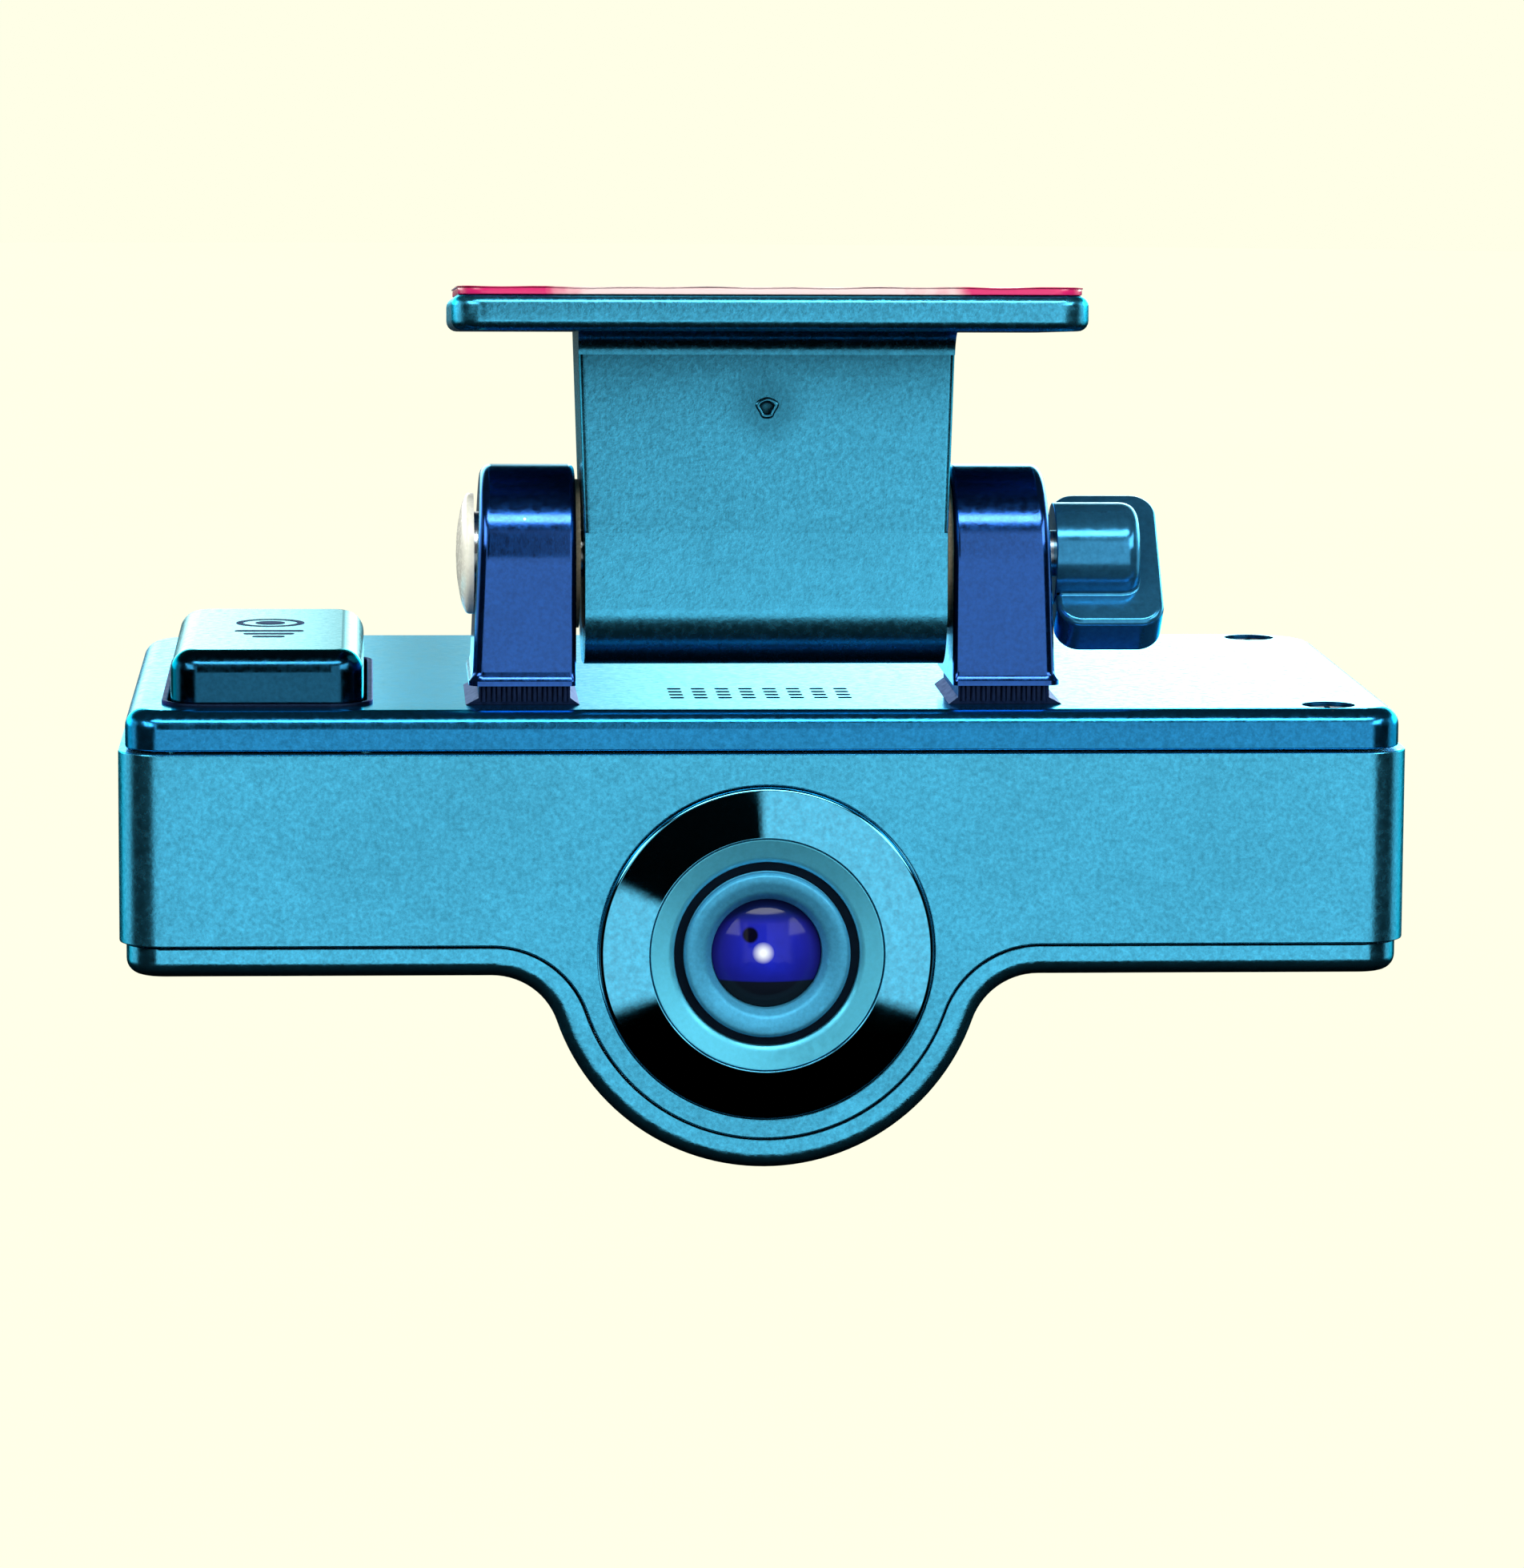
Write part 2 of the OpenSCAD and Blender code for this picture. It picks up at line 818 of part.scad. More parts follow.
// Upper cover with rolled edge, vents, screw recesses and the key's well
module top_cover() {
    color([0.30, 0.42, 0.48])
        in_body()
            difference() {
                union() {
                    difference() {
                        translate([0, 0, band_top])
                            rolled_slab(-body_w / 2 + cover_inset, body_w / 2 - cover_inset,
                                cover_inset, body_d - cover_inset, top_cover_h,
                                front_corner_r - cover_inset, rear_corner_r - cover_inset, 0, top_roll);
                        translate([0, 0, band_top - cut])
                            linear_extrude(top_cover_h - top_t + cut)
                                plan_outline(cover_inset + wall);
                    }
                    for (p = case_screws())
                        translate([p[0], p[1], band_top])
                            cylinder(h = top_cover_h - top_t, r = boss_r + free_gap);
                }
                for (p = case_screws())
                    translate([p[0], p[1], 0]) {
                        translate([0, 0, -screw_recess_h])
                            cylinder(h = screw_recess_h + cut, r = screw_recess_r);
                        translate([0, 0, band_top - cut])
                            cylinder(h = top_cover_h + cut, r = clear_r);
                    }
                key_block(free_gap, -top_t - cut, cut);
                for (side = [-1, 1])
                    for (y = [ear_screw_front, ear_screw_rear])
                        translate([side * ear_screw_x, y, -top_t - cut])
                            cylinder(h = top_t + 2 * cut, r = clear_r);
                for (i = [0:vent_columns - 1])
                    for (j = [0:vent_rows - 1])
                        translate([
                            (i - (vent_columns - 1) / 2) * vent_pitch_x - vent_slot_w / 2,
                            vent_front_y + j * vent_pitch_y,
                            -top_t - cut
                        ])
                            cube([vent_slot_w, vent_slot_d, top_t + 2 * cut]);
            }
}

// Middle band before it is parted: four walls, with the keel's two end walls hanging below
module band_blank() {
    difference() {
        intersection() {
            translate([0, 0, -bar_h - keel_r])
                linear_extrude(bar_h + keel_r + band_top - seam)
                    plan_outline(0);
            keel_prism(low_cover_t + seam, -cut, body_d + cut);
        }
        translate([0, 0, -bar_h - keel_r - cut])
            linear_extrude(bar_h + keel_r + 2 * cut)
                plan_outline(wall);
    }
}

// One stretch of the band between two places across and two depths
module band_stretch(x0, x1, y0, y1) {
    intersection() {
        band_blank();
        translate([x0, y0, -bar_h - keel_r - cut])
            cube([x1 - x0, y1 - y0, bar_h + keel_r + 2 * cut]);
    }
}

// Front wall of the band with both front corners and the lens opening
module band_front() {
    color([0.16, 0.30, 0.38])
        in_body()
            difference() {
                band_stretch(-body_w, body_w, -cut, front_corner_r);
                depth_bar(0, -lens_drop, -cut, wall + cut, trim_r + hole_gap);
            }
}

// Flat rear wall of the band with the openings for sockets and controls
module band_rear() {
    color([0.16, 0.30, 0.38])
        in_body()
            difference() {
                band_stretch(rear_corner_r - body_w / 2, body_w / 2 - rear_corner_r, body_d - rear_corner_r,
                    body_d + cut);
                block(power_x, rear_inner - cut, body_d + cut, main_top - run_gap,
                    main_top + power_h + run_gap, power_w + 2 * run_gap);
                depth_bar(video_x, main_top + video_h / 2, rear_inner - cut, body_d + cut, video_hole_r);
                depth_bar(mic_x, control_z, rear_inner - cut, body_d + cut, mic_hole_r);
                for (i = [0:pipe_count - 1])
                    depth_bar(pipe_x + i * pipe_pitch, control_z, rear_inner - cut, body_d + cut,
                        pipe_r + run_gap);
                depth_bar(mode_x, control_z, rear_inner - cut, body_d + cut, mode_r + free_gap);
            }
}

// Left side wall of the band with the rear left corner
module band_left() {
    color([0.16, 0.30, 0.38])
        in_body()
            band_stretch(-body_w, rear_corner_r - body_w / 2, front_corner_r, body_d + cut);
}

// Right side wall of the band with the rear right corner and the opening for the memory card
module band_right() {
    color([0.16, 0.30, 0.38])
        in_body()
            difference() {
                band_stretch(body_w / 2 - rear_corner_r, body_w, front_corner_r, body_d + cut);
                translate([body_w / 2 - wall - cut, card_front_y - card_gap, card_z - card_gap])
                    cube([wall + 2 * cut, card_w + 2 * card_gap, card_t + 2 * card_gap]);
            }
}

// One hole through the keel's floor, counted from the speaker's axis
module sound_hole(x, y) {
    translate([x, speaker_y + y, -lens_drop - keel_r - cut])
        cylinder(h = 2 * low_cover_t + cut, r = sound_hole_r);
}

// Lower cover: a channel that follows bar and keel, with bosses and board posts inside
module lower_cover() {
    color([0.12, 0.24, 0.33])
        in_body()
            difference() {
                union() {
                    difference() {
                        intersection() {
                            keel_prism(0, -cut, body_d + cut);
                            lower_envelope();
                        }
                        keel_prism(low_cover_t, -cut, body_d + cut);
                    }
                    for (p = case_screws())
                        translate([p[0], p[1], bar_bottom + low_cover_t - cut])
                            cylinder(h = -bar_bottom - low_cover_t + cut + band_top - free_gap, r = boss_r);
                    for (p = posts)
                        translate([p[0], p[1], bar_bottom + low_cover_t - cut])
                            cylinder(h = main_top - board_t - bar_bottom - low_cover_t + cut, r = post_r);
                }
                for (p = case_screws())
                    translate([p[0], p[1], screw_end_z - cut])
                        cylinder(h = -screw_end_z, r = thread_r);
                for (p = posts)
                    translate([p[0], p[1], main_top - board_t - board_screw_l])
                        cylinder(h = board_screw_l + cut, r = post_hole_r);
                for (a = [0:60:300])
                    sound_hole(sound_ring_r * cos(a), sound_ring_r * sin(a));
                sound_hole(0, 0);
            }
}

// Three case screws, their heads at the bottom of the recesses
module cover_screws() {
    color([0.30, 0.31, 0.33])
        in_body()
            for (p = case_screws())
                translate([p[0], p[1], 0])
                    difference() {
                        union() {
                            translate([0, 0, -screw_recess_h])
                                cylinder(h = case_head_h, r = screw_head_r);
                            translate([0, 0, screw_end_z])
                                cylinder(h = case_head_h / 2 - screw_recess_h - screw_end_z,
                                    r = screw_shaft_r);
                        }
                        for (a = [0, 90])
                            rotate([0, 0, a])
                                translate([-cross_w / 2, -cross_t / 2, -screw_recess_h + cross_floor])
                                    cube([cross_w, cross_t, case_head_h]);
                    }
}

// Record key

// Upright section of the key with both upper corners rolled, starting at x = 0
module key_section(w, z0) {
    translate([0, z0])
        square([w, key_h - key_roll - z0]);
    translate([key_roll, z0])
        square([w - 2 * key_roll, key_h - z0]);
    for (x = [key_roll, w - key_roll])
        translate([x, key_h - key_roll])
            circle(key_roll);
}

// Solid key crown: its plan, trimmed to the rolled front and side sections
module key_crown(z0) {
    intersection() {
        key_block(0, z0, key_h + cut);
        translate([key_x - key_w / 2, body_d, 0])
            rotate([90, 0, 0])
                linear_extrude(body_d)
                    key_section(key_w, z0);
        translate([key_x - key_w, key_front_y, 0])
            rotate([90, 0, 90])
                linear_extrude(2 * key_w)
                    key_section(key_l, z0);
    }
}

// Sprung hollow key with a rolled crown, a retaining flange and a stem to its switch
module record_key() {
    stem_end = main_top + switch_h + plunger_h + key_travel + free_gap;
    flange_top = -top_t - free_gap;
    color([0.35, 0.55, 0.58])
        in_body()
            union() {
                difference() {
                    union() {
                        key_crown(flange_top - key_flange_t / 2);
                        key_block(key_flange_out, flange_top - key_flange_t, flange_top);
                    }
                    key_block(-key_wall, flange_top - key_flange_t - cut, key_h - key_wall);
                }
                translate([key_x, switch_y, stem_end])
                    cylinder(h = key_h - key_wall / 2 - stem_end, r = key_stem_r);
            }
}

// Low raised frame around the key's well
module key_bezel() {
    color([0.05, 0.07, 0.10])
        in_body()
            difference() {
                key_block(free_gap + bezel_w, 0, bezel_h);
                key_block(free_gap, -cut, bezel_h + cut);
            }
}

// Tactile switch under the record key
module key_switch() {
    color([0.10, 0.10, 0.12])
        in_body()
            union() {
                block(key_x, switch_y - switch_w / 2, switch_y + switch_w / 2, main_top,
                    main_top + switch_h, switch_w);
                translate([key_x, switch_y, main_top + switch_h - cut])
                    cylinder(h = plunger_h + cut, r = plunger_r);
            }
}

// Lens

// Glossy ring whose face rises inwards in front of the lens face, and a flange behind the wall
module trim_ring() {
    color([0.04, 0.07, 0.14])
        in_body()
            lens_turned()
                polygon([
                    [trim_r, -trim_lip],
                    [cone_outer_r, -trim_proud],
                    [cone_outer_r, trim_back],
                    [trim_flange_r, trim_back],
                    [trim_flange_r, wall + run_gap],
                    [trim_r, wall + run_gap]
                ]);
}

// Satin cone between the trim ring and the barrel
module satin_cone() {
    color([0.45, 0.60, 0.66])
        in_body()
            lens_turned()
                polygon([
                    [cone_outer_r - hole_gap, cone_step - trim_proud],
                    [cone_r + cone_edge_w, cone_front],
                    [cone_r, cone_front + cone_edge_h],
                    [cone_r, trim_back],
                    [cone_outer_r - hole_gap, trim_back]
                ]);
}

// Threaded barrel that carries the glass
module lens_barrel() {
    color([0.14, 0.26, 0.36])
        in_body()
            lens_turned()
                polygon([
                    [barrel_r - barrel_edge, -barrel_proud],
                    [barrel_r, -barrel_proud + barrel_edge],
                    [barrel_r, barrel_back],
                    [inner_bore_r, barrel_back],
                    [inner_bore_r, glass_seat],
                    [glass_r + hole_gap, glass_seat],
                    [glass_r + hole_gap, mouth_y],
                    [glass_r + mouth_w, -barrel_proud]
                ]);
}

// Domed front glass
module front_glass() {
    dome_z = glass_rim_y + sqrt(dome_r * dome_r - glass_r * glass_r);
    color([0.10, 0.16, 0.60, 0.8])
        in_body()
            lens_turned()
                intersection() {
                    translate([0, dome_z])
                        circle(dome_r);
                    translate([0, -barrel_proud])
                        square([glass_r, barrel_proud + glass_seat]);
                }
}

// Two inner glasses behind the stop
module rear_glass() {
    color([0.25, 0.35, 0.60, 0.8])
        in_body()
            for (y = inner_glass_y)
                depth_bar(0, -lens_drop, y, y + inner_glass_t, inner_bore_r);
}

// Holder between the barrel and the sensor board
module lens_holder() {
    color([0.08, 0.08, 0.10])
        in_body()
            difference() {
                union() {
                    depth_bar(0, -lens_drop, holder_front, holder_back, holder_r);
                    block(0, holder_back - wall, holder_back, -lens_drop - holder_flange_h / 2,
                        -lens_drop + holder_flange_h / 2, holder_flange_w);
                }
                depth_bar(0, -lens_drop, holder_front - cut, holder_back + cut, barrel_r);
            }
}

// Imaging chip facing the lens
module image_sensor() {
    color([0.10, 0.25, 0.20])
        in_body()
            block(0, holder_back - sensor_t, holder_back, -lens_drop - sensor_h / 2,
                -lens_drop + sensor_h / 2, sensor_w);
}

// Upright board behind the lens
module sensor_board() {
    color([0.05, 0.30, 0.15])
        in_body()
            block(0, holder_back, holder_back + board_t, -lens_drop - sensor_board_h / 2,
                -lens_drop + sensor_board_h / 2, sensor_board_w);
}

// Electronics

module main_board() {
    color([0.05, 0.32, 0.16])
        in_body()
            difference() {
                block(0, main_front, main_rear, main_top - board_t, main_top, main_w);
                for (p = posts)
                    translate([p[0], p[1], main_top - board_t - cut])
                        cylinder(h = board_t + 2 * cut, r = post_hole_r + run_gap);
            }
}

module board_screws() {
    color([0.70, 0.70, 0.72])
        in_body()
            for (p = posts)
                translate([p[0], p[1], main_top]) {
                    cylinder(h = board_head_h, r = board_head_r);
                    translate([0, 0, -board_screw_l])
                        cylinder(h = board_screw_l + board_head_h / 2, r = board_screw_r);
                }
}

module processor() {
    color([0.12, 0.12, 0.13])
        in_body()
            block(0, chip_y - chip_w / 2, chip_y + chip_w / 2, main_top, main_top + chip_t, chip_w);
}

// Two chips on the underside of the main board
module memory_chips() {
    color([0.10, 0.10, 0.11])
        in_body()
            for (side = [-1, 1])
                block(side * memory_x, memory_y - memory_d / 2, memory_y + memory_d / 2,
                    main_top - board_t - chip_t, main_top - board_t, memory_w);
}

// Finned heat sink between the processor and the vents
module heat_sink() {
    color([0.60, 0.62, 0.64])
        in_body()
            union() {
                block(0, chip_y - sink_d / 2, chip_y + sink_d / 2, main_top + chip_t,
                    main_top + chip_t + sink_base, sink_w);
                for (i = [0:fin_count - 1])
                    block((i - (fin_count - 1) / 2) * (sink_w - fin_t) / (fin_count - 1),
                        chip_y - sink_d / 2, chip_y + sink_d / 2, main_top + chip_t + sink_base / 2,
                        main_top + chip_t + sink_h, fin_t);
            }
}

// Ceramic positioning antenna
module gps_antenna() {
    color([0.75, 0.68, 0.50])
        in_body()
            block(patch_x, patch_y - patch_w / 2, patch_y + patch_w / 2, main_top,
                main_top + patch_t, patch_w);
}

// Two round cells that save the last clip when power is cut
module backup_cells() {
    color([0.15, 0.20, 0.45])
        in_body()
            for (side = [-1, 1])
                depth_bar(side * cell_x, cell_z, cell_y, cell_y + cell_l, cell_r);
}

module speaker() {
    color([0.20, 0.20, 0.21])
        in_body()
            translate([0, speaker_y, speaker_z])
                union() {
                    cylinder(h = speaker_t, r = speaker_r);
                    cylinder(h = speaker_t + magnet_t, r = magnet_r);
                }
}

module microphone() {
    color([0.65, 0.66, 0.68])
        in_body()
            depth_bar(mic_x, control_z, rear_inner - mic_t - run_gap, rear_inner - run_gap, mic_r);
}

// Rear sockets and controls

// Power inlet: a metal shell around a flat tongue
module power_socket() {
    color([0.75, 0.76, 0.78])
        in_body()
            union() {
                difference() {
                    block(power_x, socket_back - power_l, socket_back, main_top, main_top + power_h, power_w);
                    block(power_x, socket_back - power_l + 2 * power_shell, socket_back + cut,
                        main_top + power_shell, main_top + power_h - power_shell, power_w - 2 * power_shell);
                }
                block(power_x, socket_back - power_l + power_shell, socket_back - power_l + tongue_l,
                    main_top + power_h / 2 - tongue_t / 2, main_top + power_h / 2 + tongue_t / 2, tongue_w);
            }
}

// Round video jack with its nose in the rear wall
module video_socket() {
    z = main_top + video_h / 2;
    color([0.10, 0.10, 0.11])
        in_body()
            difference() {
                union() {
                    block(video_x, rear_inner - video_l, rear_inner - run_gap, main_top,
                        main_top + video_h, video_w);
                    depth_bar(video_x, z, rear_inner - cut, socket_back, video_nose_r);
                }
                depth_bar(video_x, z, rear_inner - video_l + cut, body_d, video_r);
            }
}

// Slotted holder for the memory card
module card_socket() {
    z0 = card_z - card_gap;
    color([0.70, 0.71, 0.73])
        in_body()
            difference() {
                translate([
                    body_w / 2 - wall - run_gap - slot_reach,
                    card_front_y - card_gap - slot_shell,
                    main_top
                ])
                    cube([
                        slot_reach,
                        card_w + 2 * card_gap + 2 * slot_shell,
                        card_t + 2 * card_gap + slot_floor + slot_roof
                    ]);
                translate([card_end_x - card_l - card_gap, card_front_y - card_gap, z0])
                    cube([card_l + 2 * cut, card_w + 2 * card_gap, card_t + 2 * card_gap]);
            }
}

// Memory card with one corner cut off
module memory_card() {
    color([0.08, 0.09, 0.12])
        in_body()
            translate([card_end_x - card_l, card_front_y, card_z])
                linear_extrude(card_t)
                    polygon([
                        [0, card_corner],
                        [card_corner, 0],
                        [card_l, 0],
                        [card_l, card_w],
                        [0, card_w]
                    ]);
}

// Upright lamps on the main board, behind the light pipes
module status_leds() {
    color([0.85, 0.85, 0.70])
        in_body()
            for (i = [0:pipe_count - 1])
                block(pipe_x + i * pipe_pitch, body_d - pipe_l - led_w - run_gap, body_d - pipe_l - run_gap,
                    main_top, control_z + led_w / 2, led_w);
}

module light_pipes() {
    color([0.85, 0.90, 0.92, 0.7])
        in_body()
            for (i = [0:pipe_count - 1])
                depth_bar(pipe_x + i * pipe_pitch, control_z, body_d - pipe_l, body_d, pipe_r);
}

// Small round button in the rear face
module mode_button() {
    flange_back = rear_inner - free_gap;
    color([0.20, 0.24, 0.28])
        in_body()
            union() {
                depth_bar(mode_x, control_z, flange_back - mode_flange_t, body_d + mode_proud, mode_r);
                depth_bar(mode_x, control_z, flange_back - mode_flange_t, flange_back, mode_flange_r);
            }
}

module mode_switch() {
    back = rear_inner - mode_flange_t - mode_travel - 2 * free_gap;
    color([0.10, 0.10, 0.12])
        in_body()
            block(mode_x, back - mode_switch_d, back, main_top, main_top + mode_switch_h, mode_switch_w);
}

tape_liner();
adhesive_tape();
bracket();
friction_washers();
hinge_bolt();
hinge_cap();
lock_knob();
left_ear();
right_ear();
ear_feet();
ear_screws();
top_cover();
band_front();
band_rear();
band_left();
band_right();
lower_cover();
cover_screws();
record_key();
key_bezel();
key_switch();
trim_ring();
satin_cone();
lens_barrel();
front_glass();
rear_glass();
lens_holder();
image_sensor();
sensor_board();
main_board();
board_screws();
processor();
memory_chips();
heat_sink();
gps_antenna();
backup_cells();
speaker();
microphone();
power_socket();
video_socket();
card_socket();
memory_card();
status_leds();
light_pipes();
mode_button();
mode_switch();
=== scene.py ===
"""Looks of the dash camera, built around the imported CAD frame.

The scene is in metres, +X right, +Y back from the lens face and +Z up. Sizes in this script are in
millimetres: at(), leaning() and the round_ functions carry them into the scene.
"""
import json
import math

import bmesh
import bpy
from mathutils import Matrix, Quaternion, Vector


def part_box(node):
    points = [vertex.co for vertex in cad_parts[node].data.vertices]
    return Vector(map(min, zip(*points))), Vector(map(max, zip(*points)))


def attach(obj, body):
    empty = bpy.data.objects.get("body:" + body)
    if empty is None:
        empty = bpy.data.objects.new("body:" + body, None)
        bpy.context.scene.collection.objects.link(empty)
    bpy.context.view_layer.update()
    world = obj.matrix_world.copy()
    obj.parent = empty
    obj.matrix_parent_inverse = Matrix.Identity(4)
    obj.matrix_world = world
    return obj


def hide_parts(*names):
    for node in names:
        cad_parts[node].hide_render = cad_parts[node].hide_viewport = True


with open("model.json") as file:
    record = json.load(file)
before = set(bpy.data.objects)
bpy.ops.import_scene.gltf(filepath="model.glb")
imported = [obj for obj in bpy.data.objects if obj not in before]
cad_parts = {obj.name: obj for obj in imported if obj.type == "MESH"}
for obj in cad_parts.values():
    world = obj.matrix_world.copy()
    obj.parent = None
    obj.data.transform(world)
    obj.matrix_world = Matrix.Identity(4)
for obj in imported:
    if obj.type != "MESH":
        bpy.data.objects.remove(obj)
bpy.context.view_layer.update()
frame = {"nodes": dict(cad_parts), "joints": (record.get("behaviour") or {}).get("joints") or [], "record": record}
NODES = frame["nodes"]
MM = 0.001
RIGHT_ANGLE = math.pi / 2

# ---------------------------------------------------------------- places, all taken from the frame

BAND_NODES = ["band_front", "band_rear", "band_left", "band_right"]
BAND_CORNERS = list(zip(*(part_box(name) for name in BAND_NODES)))
BAND_LOW = Vector(min(corner[i] for corner in BAND_CORNERS[0]) for i in range(3))
BAND_HIGH = Vector(max(corner[i] for corner in BAND_CORNERS[1]) for i in range(3))
COVER_LOW, COVER_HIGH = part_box("top_cover")
KEEL_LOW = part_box("lower_cover")[0]
FACE_Y = BAND_LOW.y
TOP_Z = COVER_HIGH.z
HINGE = Vector(next(j["pos_m"] for j in frame["joints"] if j["name"] == "tilt"))


def at(x, depth, height):
    """A point given in millimetres: across, behind the lens face, above the top face."""
    return Vector((x * MM, FACE_Y + depth * MM, TOP_Z + height * MM))


def in_body(point):
    """The same three millimetre values for a point of the frame."""
    return (point.x / MM, (point.y - FACE_Y) / MM, (point.z - TOP_Z) / MM)


HINGE_DEPTH, HINGE_RISE = in_body(HINGE)[1:]
PAD_NORMAL = Vector(frame["record"]["mounts"][0]["axis"])
LEAN = math.atan2(PAD_NORMAL.y, PAD_NORMAL.z)

# Sizes that the shells share
BODY_HALF = BAND_HIGH.x / MM
BODY_DEPTH = (BAND_HIGH.y - BAND_LOW.y) / MM
COVER_INSET = BODY_HALF - COVER_HIGH.x / MM
COVER_H = (COVER_HIGH.z - COVER_LOW.z) / MM
SEAM = (COVER_LOW.z - BAND_HIGH.z) / MM
BAR_H = 22.8  # height of the case beside the keel
LENS_DROP = 20.7  # lens axis below the top face
KEEL_R = (TOP_Z - KEEL_LOW.z) / MM - LENS_DROP
BLEND_R = 5.9  # hollow round where the bar meets the keel
LOW_COVER_T = 2.55  # height of the lower cover's rim below the band
WALL = 2.0
FRONT_R = 4.0  # plan corners at the front and at the rear
REAR_R = 7.0
TOP_ROLL = 1.6
LOW_ROLL = 1.35

# The bracket, measured from the hinge
PLATE_HALF_W = 26.8
PLATE_HALF_D = 19.99
PLATE_T = 3.0
PLATE_R = 3
PLATE_ROLL = 0.9
PLATE_RISE = 22.1  # hinge to the plate's upper face
PLATE_SHIFT = 3.1  # hinge to the plate's middle, backwards
TAPE_HALF_W = 26.25
TAPE_HALF_D = 19.45
TAPE_T = 0.6
TAPE_R = 2.6
TAPE_ROLL = 0.12
FILM_MARGIN = 0.08  # how far the release film overhangs the tape
FILM_FRONT = -16.4  # hinge to the film's front edge
NECK_FRONT = -9.3
GATE_RISE = 12.6  # hinge to the mark of the moulding gate

# ---------------------------------------------------------------- outlines, as lists of (x, y) in mm


def arc(cx, cy, r, start, end, steps):
    """Points along a circle from one angle to another, in degrees, both ends included."""
    angles = [math.radians(start + (end - start) * i / steps) for i in range(steps + 1)]
    return [(cx + r * math.cos(a), cy + r * math.sin(a)) for a in angles]


def rounded_rect(x0, x1, y0, y1, r_low, r_high, steps=12):
    """Anticlockwise rectangle; r_low rounds the two corners at y0 and r_high the two at y1."""
    return (
        arc(x1 - r_low, y0 + r_low, r_low, -90, 0, steps)
        + arc(x1 - r_high, y1 - r_high, r_high, 0, 90, steps)
        + arc(x0 + r_high, y1 - r_high, r_high, 90, 180, steps)
        + arc(x0 + r_low, y0 + r_low, r_low, 180, 270, steps)
    )


def plan_outline(inset):
    """Plan of the body drawn in by an inset, as (across, depth)."""
    half = BODY_HALF - inset
    return rounded_rect(-half, half, inset, BODY_DEPTH - inset, FRONT_R - inset, REAR_R - inset)


def keel_outline(inset):
    """Front outline of bar and keel drawn in by an inset, as (across, height), open above the bar."""
    blend_z = -BAR_H - BLEND_R
    rise = -LENS_DROP - blend_z
    blend_x = math.sqrt((KEEL_R + BLEND_R) ** 2 - rise**2)
    slope = math.degrees(math.atan2(rise, blend_x))
    wide, top, low = BODY_HALF + 5, 5, -BAR_H + inset
    right = arc(blend_x, blend_z, BLEND_R + inset, 180 - slope, 90, 14)
    left = arc(-blend_x, blend_z, BLEND_R + inset, 90, slope, 14)
    keel = arc(0, -LENS_DROP, KEEL_R - inset, 180 + slope, 360 - slope, 56)
    return [(-wide, top), (-wide, low)] + left + keel[1:-1] + right + [(wide, low), (wide, top)]


# ---------------------------------------------------------------- mesh tools

FLAT_ANGLE = math.radians(0.5)  # faces that turn less than this are joined after a boolean
SMOOTH_ANGLE = math.radians(32)  # edges that turn more than this are shaded sharp
CORNER_WEIGHT = 60


def solid(outline, low, high, axes):
    """A closed prism. axes maps (u, v, w) in mm to a frame point; w runs from low to high."""
    bm = bmesh.new()
    rings = [[bm.verts.new(axes(u, v, w)) for u, v in outline] for w in (low, high)]
    count = len(outline)
    for i in range(count):
        j = (i + 1) % count
        bm.faces.new((rings[0][i], rings[0][j], rings[1][j], rings[1][i]))
    bm.faces.new(rings[0][::-1])
    bm.faces.new(rings[1])
    bmesh.ops.recalc_face_normals(bm, faces=bm.faces)
    return bm


def upright(u, v, w):
    """Outline given as (across, depth), carried up."""
    return at(u, v, w)


def backward(u, v, w):
    """Outline given as (across, height), carried back."""
    return at(u, w, v)


def leaning(u, v, w):
    """Outline in the bracket's own frame, as (across, depth from the hinge), carried up from the hinge."""
    point = Matrix.Rotation(-LEAN, 3, "X") @ Vector((u, v, w))
    return HINGE + point * MM


def arc_steps(steps):
    """Angles of a quarter turn in equal steps."""
    return [RIGHT_ANGLE * i / steps for i in range(steps + 1)]


def turned(profile, place, steps=144, closed=False):
    """A lathe shape from a profile of (radius, distance). place maps (radius, angle, distance) to a point."""
    bm = bmesh.new()
    rings = []
    for r, d in profile:
        if r == 0:
            rings.append([bm.verts.new(place(0, 0, d))])
        else:
            rings.append([bm.verts.new(place(r, 2 * math.pi * i / steps, d)) for i in range(steps)])
    pairs = list(zip(rings, rings[1:])) + ([(rings[-1], rings[0])] if closed else [])
    for a, b in pairs:
        for i in range(steps):
            j = (i + 1) % steps
            if len(a) == 1 and len(b) > 1:
                bm.faces.new((a[0], b[i], b[j]))
            elif len(b) == 1 and len(a) > 1:
                bm.faces.new((a[i], b[0], a[j]))
            elif len(a) > 1:
                bm.faces.new((a[i], b[i], b[j], a[j]))
    bmesh.ops.recalc_face_normals(bm, faces=bm.faces)
    return bm


def round_lens(r, angle, d):
    """Lathe place on the lens axis, d in mm behind the lens face."""
    return at(r * math.cos(angle), d, -LENS_DROP + r * math.sin(angle))


def round_hinge(r, angle, d):
    """Lathe place on the hinge axis, d in mm across."""
    return at(d, HINGE_DEPTH + r * math.cos(angle), HINGE_RISE + r * math.sin(angle))


def round_upright(x, depth):
    """Lathe place on an upright axis."""
    return lambda r, angle, d: at(x + r * math.cos(angle), depth + r * math.sin(angle), d)


def round_backward(x, height):
    """Lathe place on an axis that runs back."""
    return lambda r, angle, d: at(x + r * math.cos(angle), d, height + r * math.sin(angle))


